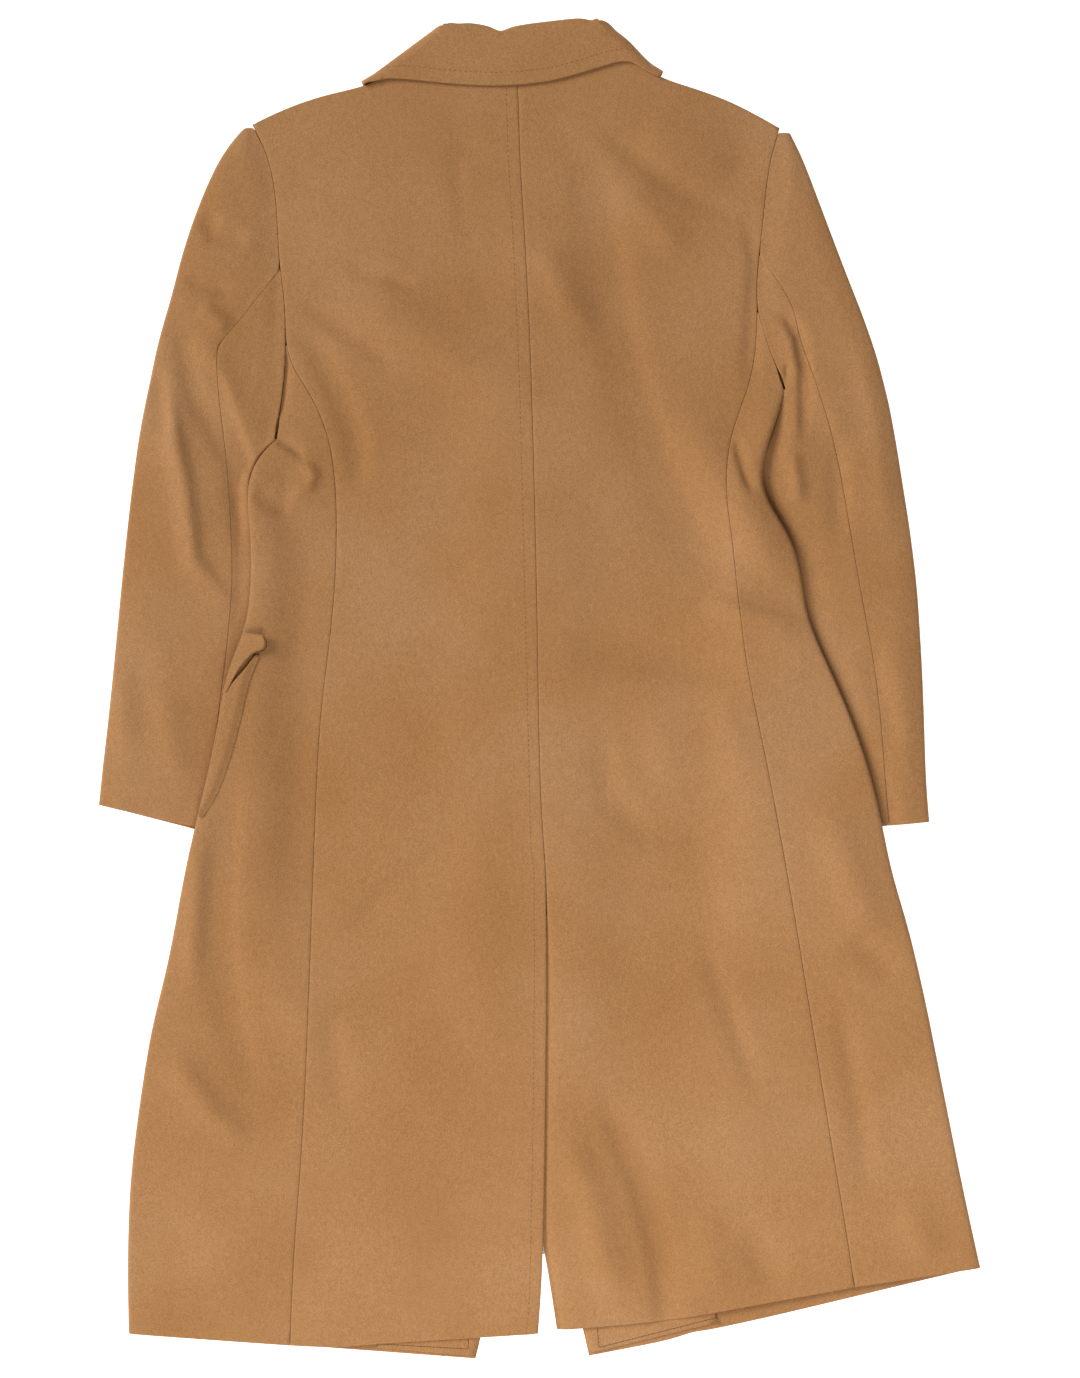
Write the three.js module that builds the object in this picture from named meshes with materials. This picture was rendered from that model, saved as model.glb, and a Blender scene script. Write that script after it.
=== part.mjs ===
import * as THREE from 'three';

// A woollen overcoat lying face down on a flat surface: the back is upward, the sleeves lie beside it.
// Millimetres. X runs to the right across the back, Y from the hem to the collar, and Z up.
// The origin is on the surface, under the middle of the coat.

// Cloth and lay
const cloth = 2.4;
const collarCloth = 3.0;
const seamSide = 0.22;
const layClear = 0.3;
const collarClear = 0.4;
const layHeight = 8.2;
const sleeveLift = layHeight + layClear;
const collarLift = collarCloth + collarClear;
const foldRadius = layHeight / 2;
const frontLap = 0.9;
const shoulderDraw = 0.9;
const tipShare = 0.14;

// Rows between the main levels, and columns across each stretch of cloth
const rowsTo = { elbow: 6, princess: 3, armpit: 4, hem: 21, cuff: 13 };
const backColumns = 10;
const wrapColumns = { top: [5], fold: 4, under: [2, 1, 3, 1, 2] };
const sleeveColumns = { top: [1, 1, 4], fold: 4, under: [4] };
const underSleeveColumns = { top: [3, 1, 1], fold: 4, under: [2] };

const armpitRow = rowsTo.elbow + rowsTo.princess + rowsTo.armpit;
const princessRow = rowsTo.elbow + rowsTo.princess;
const elbowRow = rowsTo.elbow;
const hemRow = armpitRow + rowsTo.hem;
const cuffRow = armpitRow + rowsTo.cuff;

function mix(a, b, t) {
  return a + (b - a) * t;
}

function sum(counts) {
  return counts.reduce((total, count) => total + count, 0);
}

function smooth(from, to, value) {
  const t = Math.min(1, Math.max(0, (value - from) / (to - from)));
  return t * t * (3 - 2 * t);
}

// A smooth line through the rows of a table. The rows run down the coat, and each gives x at a height y.
function line(rows) {
  const slope = rows.map((row, i) => {
    if (i === 0 || i === rows.length - 1) return 0;
    const before = (row.x - rows[i - 1].x) / (row.y - rows[i - 1].y);
    const after = (rows[i + 1].x - row.x) / (rows[i + 1].y - row.y);
    return before * after <= 0 ? 0 : (2 * before * after) / (before + after);
  });
  const last = rows.length - 1;
  slope[0] = (rows[1].x - rows[0].x) / (rows[1].y - rows[0].y);
  slope[last] = (rows[last].x - rows[last - 1].x) / (rows[last].y - rows[last - 1].y);
  return (y) => {
    let i = 0;
    while (i < last - 1 && y < rows[i + 1].y) i += 1;
    const step = rows[i + 1].y - rows[i].y;
    const t = Math.min(1, Math.max(0, (y - rows[i].y) / step));
    const a = rows[i].x + slope[i] * step * t;
    const b = rows[i + 1].x - slope[i + 1] * step * (1 - t);
    return mix(a, b, t * t * (3 - 2 * t));
  };
}

// The two sides of the coat, as they lie. Sign is the direction of the side along X.
const leftSide = {
  sign: -1,
  level: { shoulder: 460, elbow: 343.6, princess: 282, armpit: 205 },
  armhole: line([
    { y: 463, x: -236 }, { y: 424, x: -219.5 }, { y: 385, x: -215.3 }, { y: 343.6, x: -212.8 },
    { y: 311, x: -208.7 }, { y: 282, x: -208.3 }, { y: 257, x: -209.5 }, { y: 226, x: -213.6 },
    { y: 205, x: -215.7 },
  ]),
  frontArmhole: line([
    { y: 463, x: -236 }, { y: 424, x: -212 }, { y: 360, x: -194 }, { y: 300, x: -189 },
    { y: 250, x: -195 }, { y: 205, x: -212 },
  ]),
  princess: line([
    { y: 282, x: -207.9 }, { y: 271, x: -206 }, { y: 252, x: -194 }, { y: 234, x: -184 },
    { y: 220, x: -178 }, { y: 200, x: -172 }, { y: 170, x: -167.7 }, { y: 144, x: -166.3 },
    { y: 91, x: -167.7 }, { y: 48, x: -171 }, { y: -10, x: -178.4 }, { y: -52, x: -181.6 },
    { y: -153, x: -185.7 }, { y: -378, x: -195 }, { y: -460, x: -201.3 }, { y: -540, x: -204.8 },
  ]),
  edge: line([
    { y: 205, x: -216 }, { y: 193, x: -228.4 }, { y: 173, x: -238.2 }, { y: 163, x: -239.4 },
    { y: 139, x: -237.4 }, { y: 106, x: -236.6 }, { y: 53, x: -240.2 }, { y: 24, x: -252.6 },
    { y: -3, x: -261.2 }, { y: -25, x: -262.5 }, { y: -57, x: -269.4 }, { y: -96, x: -278.4 },
    { y: -157, x: -292.3 }, { y: -198, x: -299.7 }, { y: -239, x: -308.7 }, { y: -280, x: -319.4 },
    { y: -321, x: -326 }, { y: -362, x: -331.7 }, { y: -403, x: -336.6 }, { y: -444, x: -338.3 },
    { y: -485, x: -339.1 }, { y: -530, x: -337.4 },
  ]),
  frontEdge: line([
    { y: 430, x: 14 }, { y: 330, x: 16 }, { y: 73, x: 14 }, { y: -120, x: 4 }, { y: -380, x: -24 },
    { y: -534, x: -48 }, { y: -551, x: -52.9 },
  ]),
  sleeveOuter: line([
    { y: 463, x: -236 }, { y: 458, x: -247.2 }, { y: 438, x: -261.2 }, { y: 417, x: -271.8 },
    { y: 397, x: -280 }, { y: 356, x: -294 }, { y: 315, x: -304.6 }, { y: 294, x: -311.2 },
    { y: 253, x: -320.2 }, { y: 212, x: -328.4 }, { y: 171, x: -334.2 }, { y: 130, x: -339.1 },
    { y: 48, x: -347.3 }, { y: -34, x: -355.5 }, { y: -75, x: -360.4 }, { y: -95, x: -362 },
  ]),
  sleeveInner: line([
    { y: 205, x: -217 }, { y: 193, x: -229.6 }, { y: 183, x: -235.4 }, { y: 173, x: -239.4 },
    { y: 163, x: -238 }, { y: 139, x: -232.5 }, { y: 106, x: -228 }, { y: -9, x: -234 },
    { y: -128, x: -231 },
  ]),
  elbowSeam: line([
    { y: 343.6, x: -212.8 }, { y: 303, x: -244.8 }, { y: 274, x: -264.5 }, { y: 232, x: -262 },
    { y: 183, x: -256.3 }, { y: 134, x: -253 }, { y: 100, x: -251.7 }, { y: 51, x: -254.6 },
    { y: 2, x: -260.4 }, { y: -115, x: -274.3 },
  ]),
  foreSeam: line([
    { y: 205, x: -226 }, { y: 170, x: -258 }, { y: 100, x: -262 }, { y: -9, x: -266 }, { y: -122, x: -264 },
  ]),
  cuff: { outer: -95, elbow: -115, fore: -120, inner: -128 },
  hem: { princess: -538.5, edge: -529, front: -550.2 },
  hemSag: { under: 0 },
};

const rightSide = {
  sign: 1,
  level: { shoulder: 456, elbow: 355, princess: 309, armpit: 246 },
  armhole: line([
    { y: 460, x: 197.2 }, { y: 426, x: 188.2 }, { y: 390, x: 184.1 }, { y: 355, x: 180.4 },
    { y: 325, x: 178.4 }, { y: 309, x: 178.9 }, { y: 288, x: 186.6 }, { y: 275, x: 189 },
    { y: 257, x: 198 }, { y: 246, x: 200.5 },
  ]),
  frontArmhole: line([
    { y: 460, x: 197.2 }, { y: 424, x: 178 }, { y: 370, x: 164 }, { y: 320, x: 163 }, { y: 280, x: 174 },
    { y: 246, x: 197 },
  ]),
  princess: line([
    { y: 309, x: 178.7 }, { y: 282, x: 177.5 }, { y: 256, x: 173.4 }, { y: 234, x: 166.1 },
    { y: 219, x: 160.9 }, { y: 189, x: 153.6 }, { y: 166, x: 152.1 }, { y: 125, x: 157.5 },
    { y: 83, x: 161.8 }, { y: 34, x: 167.5 }, { y: -47, x: 183.3 }, { y: -139, x: 200.5 },
    { y: -263, x: 221.8 }, { y: -378, x: 240.3 }, { y: -463, x: 254.6 }, { y: -491, x: 258.5 },
  ]),
  edge: line([
    { y: 246, x: 200.5 }, { y: 222, x: 194.3 }, { y: 198, x: 185.7 }, { y: 166, x: 178.8 },
    { y: 156, x: 184.1 }, { y: 140, x: 194.3 }, { y: 131, x: 203.8 }, { y: 91, x: 215.3 },
    { y: 65, x: 217.7 }, { y: 45, x: 225.1 }, { y: -1, x: 246.4 }, { y: -56, x: 266.9 },
    { y: -113, x: 281.3 }, { y: -136, x: 285 }, { y: -177, x: 297.3 }, { y: -218, x: 308.7 },
    { y: -300, x: 326 }, { y: -382, x: 342.4 }, { y: -423, x: 350.6 }, { y: -464, x: 360.4 },
    { y: -475, x: 362 },
  ]),
  frontEdge: line([
    { y: 430, x: -36 }, { y: 330, x: -38 }, { y: 73, x: -36 }, { y: -173, x: -16 }, { y: -378, x: 12.7 },
    { y: -526, x: 34.9 }, { y: -548, x: 40.6 },
  ]),
  sleeveOuter: line([
    { y: 460, x: 199 }, { y: 456, x: 206 }, { y: 438, x: 215.3 }, { y: 417, x: 223.5 },
    { y: 376, x: 239 }, { y: 335, x: 254.6 }, { y: 294, x: 270.2 }, { y: 253, x: 282.5 },
    { y: 212, x: 291.5 }, { y: 171, x: 298.1 }, { y: 130, x: 304.6 }, { y: 48, x: 312.8 },
    { y: -34, x: 316.5 }, { y: -75, x: 317.8 }, { y: -109, x: 320.2 },
  ]),
  sleeveInner: line([
    { y: 246, x: 201.8 }, { y: 222, x: 195.6 }, { y: 198, x: 187 }, { y: 185, x: 180 },
    { y: 165, x: 173.5 }, { y: 106, x: 171 }, { y: -9, x: 172.6 }, { y: -121, x: 176 },
  ]),
  elbowSeam: line([
    { y: 355, x: 180.8 }, { y: 330, x: 198 }, { y: 314, x: 207.9 }, { y: 294, x: 212 },
    { y: 263, x: 222.6 }, { y: 238, x: 230.8 }, { y: 193, x: 243.5 }, { y: 166, x: 248.9 },
    { y: 111, x: 257.9 }, { y: 48, x: 269.4 }, { y: -9, x: 278.4 }, { y: -81, x: 284.1 },
    { y: -111, x: 287 },
  ]),
  foreSeam: line([
    { y: 246, x: 211 }, { y: 200, x: 214 }, { y: 106, x: 212 }, { y: -9, x: 210 }, { y: -118, x: 209 },
  ]),
  cuff: { outer: -109, elbow: -112, fore: -117, inner: -121 },
  hem: { princess: -490.6, edge: -475, front: -548 },
  hemSag: { under: 2 },
};

// The middle of the back: the seam, then the open vent, whose right edge lies under the left one.
const backSeam = line([
  { y: 512, x: -19.3 }, { y: 493, x: -17.6 }, { y: 440, x: -16 }, { y: 390, x: -13.1 },
  { y: 339, x: -10.3 }, { y: 240, x: -6.2 }, { y: 73, x: -2.1 }, { y: -132, x: 2.9 },
  { y: -148, x: 5.3 }, { y: -222, x: 5.7 }, { y: -333, x: 4.9 }, { y: -467, x: 2.5 },
  { y: -509, x: 1.2 }, { y: -530, x: -1.2 },
]);
const ventUnderEdge = line([
  { y: -140, x: -34 }, { y: -467, x: 4.5 }, { y: -476, x: 7 }, { y: -505, x: 10.3 }, { y: -530, x: 15.2 },
]);
const ventTop = -148;
const ventColumns = 3;
const ventStep = { first: 0.8, below: 6.6 };
const ventClear = { first: 0.1, below: 0.6 };
const ventReach = 3;
const backNeckY = 511;
const neckMiddle = -19;
const backHem = { left: -529, right: -525.6 };

// Shoulder and neck lines, one row for each column of cloth, from the tip of the shoulder inward.
const shoulderLine = {
  left: [
    { x: -236, y: 463 }, { x: -205, y: 478 }, { x: -172, y: 488 }, { x: -141, y: 493.6 },
    { x: -116, y: 508.3 }, { x: -100, y: 510.5 }, { x: -84, y: 510.8 }, { x: -68, y: 511 },
    { x: -52, y: 511 }, { x: -36, y: 511 }, { x: -19.3, y: 511 },
  ],
  right: [
    { x: 197.2, y: 460 }, { x: 168.5, y: 476.4 }, { x: 145.6, y: 486.3 }, { x: 119.3, y: 494.5 },
    { x: 98, y: 500.8 }, { x: 71, y: 518 }, { x: 56, y: 518 }, { x: 41, y: 516 }, { x: 27, y: 514 },
    { x: 4, y: 512 }, { x: -19.3, y: 511 },
  ],
};
const frontTopLine = {
  left: [
    { x: -236, y: 463 }, { x: -185, y: 484.4 }, { x: -141, y: 493.6 }, { x: -115.5, y: 508.5 },
    { x: -107.8, y: 493 }, { x: -87.4, y: 462.6 }, { x: -58.9, y: 440.3 }, { x: -40, y: 433 },
    { x: -20, y: 427.5 }, { x: 14, y: 425 },
  ],
  right: [
    { x: 197.2, y: 460 }, { x: 143, y: 487 }, { x: 98, y: 500.8 }, { x: 71.5, y: 517.5 },
    { x: 67.8, y: 495 }, { x: 55.6, y: 462.8 }, { x: 33.2, y: 440.2 }, { x: 6, y: 428 },
    { x: -14, y: 426.5 }, { x: -36, y: 425 },
  ],
};
const backHemSag = {
  left: [
    { u: 0, sag: 0 }, { u: 0.17, sag: -3.5 }, { u: 0.45, sag: -1.5 }, { u: 0.8, sag: -0.6 }, { u: 1, sag: 0 },
  ],
  right: [{ u: 0, sag: 0 }, { u: 0.42, sag: -3.3 }, { u: 0.62, sag: -4.8 }, { u: 0.9, sag: -1.1 }, { u: 1, sag: 0 }],
};

// Soft folds: ridges above zero and troughs below it, from one end to the other, with half width and height.
const bodyFolds = [
  { name: 'pull into the right side', x0: 90, y0: 60, x1: 226, y1: 42, width: 17, height: 3 },
  { name: 'right blade', x0: 132, y0: 228, x1: 200, y1: 96, width: 20, height: 3.2 },
  { name: 'across the left blade', x0: -172, y0: 335, x1: -40, y1: 240, width: 26, height: 2 },
  { name: 'down the middle of the right back', x0: 30, y0: 340, x1: 75, y1: 150, width: 26, height: 1.6 },
  { name: 'beside the left waist seam', x0: -196, y0: 215, x1: -188, y1: 120, width: 12, height: 2.6 },
  { name: 'left hip', x0: -276, y0: -150, x1: -272, y1: -262, width: 14, height: 2 },
  { name: 'left skirt', x0: -303, y0: -296, x1: -244, y1: -372, width: 18, height: 2.8 },
  { name: 'left hem roll', x0: -250, y0: -420, x1: -246, y1: -545, width: 36, height: 3 },
  { name: 'right of the vent', x0: 52, y0: -372, x1: 70, y1: -540, width: 22, height: 2.6 },
  { name: 'right skirt', x0: 150, y0: -250, x1: 196, y1: -470, width: 24, height: 1.8 },
  { name: 'right hip', x0: 236, y0: -60, x1: 282, y1: -210, width: 16, height: 2 },
];
const sleeveFolds = {
  left: [
    { name: 'from the elbow to the underarm', x0: -288, y0: 296, x1: -236, y1: 208, width: 9, height: 5 },
    { name: 'down the upper arm', x0: -309, y0: 262, x1: -276, y1: 96, width: 10, height: 3.6 },
    { name: 'behind the head', x0: -262, y0: 404, x1: -240, y1: 352, width: 10, height: 2.4 },
    { name: 'along the forearm', x0: -318, y0: 60, x1: -326, y1: -60, width: 18, height: 2 },
  ],
  right: [
    { name: 'tube beside the body', x0: 203, y0: 296, x1: 212, y1: 150, width: 8, height: 5 },
    { name: 'upper arm', x0: 236, y0: 262, x1: 262, y1: 150, width: 12, height: 2.4 },
    { name: 'along the forearm', x0: 286, y0: 70, x1: 300, y1: -70, width: 14, height: 2 },
  ],
};

function foldHeight(folds, x, y) {
  let height = 0;
  for (const fold of folds) {
    const dx = fold.x1 - fold.x0;
    const dy = fold.y1 - fold.y0;
    const length = Math.hypot(dx, dy);
    const along = ((x - fold.x0) * dx + (y - fold.y0) * dy) / length;
    const across = ((x - fold.x0) * dy - (y - fold.y0) * dx) / length;
    const fade = smooth(0, length * 0.3, along) * smooth(length, length * 0.7, along);
    height += fold.height * fade * Math.exp(-((across / fold.width) ** 2));
  }
  return height;
}

// Three buttons lie under the front, which rises over them.
const button = { radius: 12.5, thickness: 2.6, x: -11, ys: [325, 215, 105] };

// Slopes of the cloth, each from where it starts to where it is full, across or down the coat
const slopes = {
  button: { from: 72, to: 22 },
  sleeve: { from: 36, to: 5, armpit: 33, cuff: { from: 112, to: 42 } },
  collar: { y: { from: 332, to: 384 }, left: { from: -206, to: -164 }, right: { from: 162, to: 118 } },
  shoulder: { edge: { from: 12, to: 1 }, outward: { from: 60, to: 110 } },
  fronts: { x: { from: 76, to: 36 }, foot: { from: -330, to: -255 }, head: { from: 470, to: 430 } },
  vent: { x: { from: 80, to: 36 }, head: { from: -90, to: -146 }, foot: { from: -370, to: -290 } },
  lap: { from: 22, to: 5 },
  crown: { from: 6, to: 19 },
  sleeveEdge: { from: 2, to: 16 },
};
const crownHeight = 2.2;

function sloped({ from, to }, value) {
  return smooth(from, to, value);
}

function buttonLift(x, y) {
  let lift = 0;
  for (const at of button.ys) {
    const distance = Math.hypot(x - button.x, y - at);
    lift = Math.max(lift, (button.thickness + layClear) * sloped(slopes.button, distance));
  }
  return lift;
}

// How far the body is lifted by the sleeve that lies under its side.
function liftOverSleeve(side, x, y) {
  const inside = side.sign * (side.sleeveInner(y) - x);
  const { sleeve } = slopes;
  const below = smooth(side.level.armpit, side.level.armpit - sleeve.armpit, y);
  return sleeveLift * sloped(sleeve, inside) * below * sloped(sleeve.cuff, side.cuff.inner - y);
}

function bodyFloor(x, y) {
  const { collar } = slopes;
  const underCollar = sloped(collar.y, y) * sloped(collar.left, x) * sloped(collar.right, x);
  const side = x < 0 ? leftSide : rightSide;
  return liftOverSleeve(side, x, y) + collarLift * underCollar + buttonLift(x, y);
}

// The two layers draw together at the shoulder seam.
function shoulderPinch(x, y) {
  const rows = x < neckMiddle ? shoulderLine.left : shoulderLine.right;
  const outward = x < neckMiddle ? -x : x;
  for (let i = 1; i < rows.length; i += 1) {
    const from = Math.abs(rows[i].x);
    const to = Math.abs(rows[i - 1].x);
    if (outward >= from && outward <= to) {
      const edgeY = mix(rows[i].y, rows[i - 1].y, (outward - from) / (to - from));
      return shoulderDraw * sloped(slopes.shoulder.edge, edgeY - y) * sloped(slopes.shoulder.outward, outward);
    }
  }
  return 0;
}

// The back rises where the fronts lap over each other, and again where the vent's two edges do.
function bodyTop(x, y) {
  const { fronts, vent } = slopes;
  const overFronts = sloped(fronts.x, Math.abs(x - button.x)) * sloped(fronts.foot, y) * sloped(fronts.head, y);
  const overVent = sloped(vent.x, Math.abs(x)) * sloped(vent.head, y) * sloped(vent.foot, y);
  const stack = frontLap * overFronts + (cloth + collarClear) * overVent;
  return bodyFloor(x, y) + layHeight + stack + foldHeight(bodyFolds, x, y) - shoulderPinch(x, y);
}

function frontFloor(side, x, y) {
  const lapped = x - rightSide.frontEdge(y);
  const overlap = side.sign < 0 ? (cloth + frontLap) * sloped(slopes.lap, -lapped) : 0;
  return bodyFloor(x, y) + shoulderPinch(x, y) + overlap;
}

function sleeveTop(side, x, y) {
  const { armpit } = side.level;
  const inner = y > armpit ? side.armhole(y) : side.edge(y);
  const fromBody = side.sign * (x - inner);
  const fromOuter = side.sign * (side.sleeveOuter(y) - x);
  const clearOfBody = sloped(slopes.crown, fromBody) * sloped(slopes.sleeveEdge, fromOuter);
  const folds = foldHeight(side.sign < 0 ? sleeveFolds.left : sleeveFolds.right, x, y);
  return layHeight + clearOfBody * (crownHeight + folds);
}

// Rows run down each side at these heights, the same on every piece that shares a seam.
function sideRows(side, end, count) {
  const { shoulder, elbow, princess, armpit } = side.level;
  const rows = [];
  for (let i = 0; i < rowsTo.elbow; i += 1) rows.push(mix(shoulder, elbow, i / rowsTo.elbow));
  for (let i = 0; i < rowsTo.princess; i += 1) rows.push(mix(elbow, princess, i / rowsTo.princess));
  for (let i = 0; i < rowsTo.armpit; i += 1) rows.push(mix(princess, armpit, i / rowsTo.armpit));
  for (let i = 0; i <= count; i += 1) rows.push(mix(armpit, end, (i / count) ** 1.25));
  return rows;
}

function onLine(guide, y) {
  return { x: guide(y), y };
}

function between(a, b, t) {
  return { x: mix(a.x, b.x, t), y: mix(a.y, b.y, t) };
}

function shifted(point, dx) {
  return { x: point.x + dx, y: point.y };
}

function alongTable(rows, u, value) {
  let i = 0;
  while (i < rows.length - 2 && u > rows[i + 1].u) i += 1;
  return mix(rows[i][value], rows[i + 1][value], (u - rows[i].u) / (rows[i + 1].u - rows[i].u));
}

// Points along a stretch, with a number of columns between each two of its stops.
function run(stops, counts) {
  const points = [stops[0]];
  counts.forEach((count, k) => {
    for (let i = 1; i <= count; i += 1) points.push(between(stops[k], stops[k + 1], i / count));
  });
  return points;
}

function stopsAt(start, end, shares) {
  return [start, ...shares.map((share) => between(start, end, share)), end];
}

// A patch between four border lines, at the shares u across and v down.
function patch(top, bottom, left, right, corners, u, v) {
  const at = (key) => {
    const across = mix(top[key], bottom[key], v) + mix(left[key], right[key], u);
    const upper = mix(corners.topLeft[key], corners.topRight[key], u);
    const lower = mix(corners.bottomLeft[key], corners.bottomRight[key], u);
    return across - mix(upper, lower, v);
  };
  return { x: at('x'), y: at('y') };
}

// One place on a wall of cloth: its outer and its inner point.
function upperPlace(point, height, thickness = cloth) {
  const z = height(point.x, point.y);
  return {
    outer: new THREE.Vector3(point.x, point.y, z),
    inner: new THREE.Vector3(point.x, point.y, z - thickness),
  };
}

function underPlace(point, floor, thickness = cloth) {
  const z = floor(point.x, point.y);
  return {
    outer: new THREE.Vector3(point.x, point.y, z),
    inner: new THREE.Vector3(point.x, point.y, z + thickness),
  };
}

// A row that runs over the top, round the side fold at the edge and back along the underside.
// The shares say where its columns are set between the ends of the upper and of the lower stretch.
function wrapRow({ start, edge, end, top, floor, columns, roundness, shares }) {
  const reach = Math.hypot(start.x - edge.x, start.y - edge.y);
  const inward = { x: (start.x - edge.x) / reach, y: (start.y - edge.y) / reach };
  const radius = foldRadius * roundness;
  const centre = { x: edge.x + inward.x * radius, y: edge.y + inward.y * radius };
  const high = top(centre.x, centre.y);
  const low = floor(centre.x, centre.y);
  const rise = (high - low) / 2;
  const innerRadius = Math.max(0.4, radius - cloth);
  const places = run(stopsAt(start, centre, shares.top(start, centre)), columns.top)
    .map((point) => upperPlace(point, top));
  for (let i = 1; i < columns.fold; i += 1) {
    const angle = Math.PI * (0.5 - i / columns.fold);
    const swing = (across, up) => new THREE.Vector3(
      centre.x - inward.x * across * Math.cos(angle),
      centre.y - inward.y * across * Math.cos(angle),
      low + rise + up * Math.sin(angle),
    );
    places.push({ outer: swing(radius, rise), inner: swing(innerRadius, rise - cloth) });
  }
  const below = run(stopsAt(centre, end, shares.under(centre, end)), columns.under);
  return [...places, ...below.map((point) => underPlace(point, floor))];
}

// The share of the way from one point to another at which x is reached, kept inside the two limits.
function shareAt(from, to, x, least, most) {
  return Math.min(most, Math.max(least, (x - from.x) / (to.x - from.x)));
}

// A closed wall from a net of places. A cell stands where its four corners do, unless it is left open.
function wall(name, rows, color, open = () => false) {
  const outer = [];
  const inner = [];
  const index = rows.map((row) => row.map((place) => {
    if (!place) return -1;
    outer.push(place.outer);
    inner.push(place.inner);
    return outer.length - 1;
  }));
  const triangles = [];
  const edges = new Map();
  const face = (a, b, c) => {
    triangles.push([a, b, c], [c + outer.length, b + outer.length, a + outer.length]);
    for (const [from, to] of [[a, b], [b, c], [c, a]]) edges.set(`${from},${to}`, [from, to]);
  };
  for (let r = 0; r + 1 < index.length; r += 1) {
    for (let c = 0; c + 1 < index[r].length; c += 1) {
      const corners = [index[r][c], index[r + 1][c], index[r + 1][c + 1], index[r][c + 1]];
      if (corners.some((corner) => corner === undefined || corner < 0) || open(r, c)) continue;
      face(corners[0], corners[1], corners[2]);
      face(corners[0], corners[2], corners[3]);
    }
  }
  for (const [from, to] of edges.values()) {
    if (edges.has(`${to},${from}`)) continue;
    triangles.push([to, from, from + outer.length], [to, from + outer.length, to + outer.length]);
  }
  return solid(name, [...outer, ...inner], triangles, color);
}

// A mesh from points and triangles, turned so that its faces point outward.
function solid(name, points, triangles, color, roughness = 0.95) {
  let volume = 0;
  const cross = new THREE.Vector3();
  for (const [a, b, c] of triangles) volume += points[a].dot(cross.crossVectors(points[b], points[c]));
  const order = volume < 0 ? triangles.map(([a, b, c]) => [a, c, b]) : triangles;
  const geometry = new THREE.BufferGeometry();
  geometry.setAttribute('position', new THREE.Float32BufferAttribute(points.flatMap((p) => p.toArray()), 3));
  geometry.setIndex(order.flat());
  geometry.computeVertexNormals();
  const material = new THREE.MeshStandardMaterial({ color, roughness, metalness: 0 });
  const mesh = new THREE.Mesh(geometry, material);
  mesh.name = name;
  return mesh;
}

const wool = 0xad7e50;

const rowsLeft = sideRows(leftSide, leftSide.hem.princess, rowsTo.hem);
const rowsRight = sideRows(rightSide, rightSide.hem.princess, rowsTo.hem);
const rowsMiddle = rowsLeft.map((y, i) => {
  const share = i / hemRow;
  const halfway = (y + rowsRight[i]) / 2;
  const atNeck = backNeckY - (rowsLeft[0] + rowsRight[0]) / 2;
  const atHem = backHem.left - (rowsLeft[hemRow] + rowsRight[hemRow]) / 2;
  return halfway + atNeck * (1 - share) ** 3 + atHem * share ** 3;
});
const ventRow = rowsMiddle.findIndex((y) => y < ventTop);

// The back seam's side of a panel. The right panel swings down to its own hem beside the vent.
function backMiddle(i, sign) {
  const y = rowsMiddle[i];
  const swing = sign > 0 ? (backHem.right - backHem.left) * smooth(-400, -529, y) : 0;
  return { x: backSeam(y), y: y + swing };
}

// Where the right panel has gone down under the left one, and where it starts to go down.
function ventInner(i) {
  const { x, y } = backMiddle(i, 1);
  const clear = i === ventRow ? ventClear.first : ventClear.below;
  return { x: Math.max(x + clear, ventUnderEdge(y) + ventReach), y };
}

function ventBorder(i) {
  const step = i === ventRow ? ventStep.first - ventClear.first : ventStep.below - ventClear.below;
  return shifted(ventInner(i), step);
}

function backPanel(name, side, sideHeights, shoulder, sag) {
  const vented = (i) => side.sign > 0 && i >= ventRow;
  const border = (i) => {
    if (vented(i)) return ventBorder(i);
    return shifted(backMiddle(i, side.sign), side.sign * seamSide);
  };
  const outward = (i) => {
    const y = sideHeights[i];
    const guide = i <= princessRow ? side.armhole : side.princess;
    return shifted(onLine(guide, y), -side.sign * seamSide);
  };
  const bottomLeft = outward(hemRow);
  const bottomRight = border(hemRow);
  const topLeft = { x: shoulder[0].x - side.sign * seamSide, y: shoulder[0].y };
  const topRight = border(0);
  const corners = { topLeft, topRight, bottomLeft, bottomRight };
  const drop = cloth + collarClear;
  const rows = [];
  for (let i = 0; i <= hemRow; i += 1) {
    const v = (sideHeights[0] - sideHeights[i]) / (sideHeights[0] - sideHeights[hemRow]);
    const row = [];
    for (let j = 0; j <= backColumns; j += 1) {
      const u = j / backColumns;
      const top = { x: shoulder[j].x + mix(-side.sign, side.sign, u) * seamSide, y: shoulder[j].y };
      const bottom = between(bottomLeft, bottomRight, u);
      bottom.y += alongTable(sag, u, 'sag');
      const left = i === 0 ? topLeft : outward(i);
      const right = border(i);
      row.push(upperPlace(patch(top, bottom, left, right, corners, u, v), bodyTop));
    }
    if (side.sign > 0) {
      const inner = ventInner(i);
      const edge = { x: ventUnderEdge(inner.y), y: inner.y };
      const lowTop = (x, y) => bodyTop(x, y) - drop;
      for (let j = 0; j <= ventColumns; j += 1) {
        row.push(vented(i) ? upperPlace(between(inner, edge, j / ventColumns), lowTop) : null);
      }
    }
    rows.push(row);
  }
  return wall(name, rows, wool);
}

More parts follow.
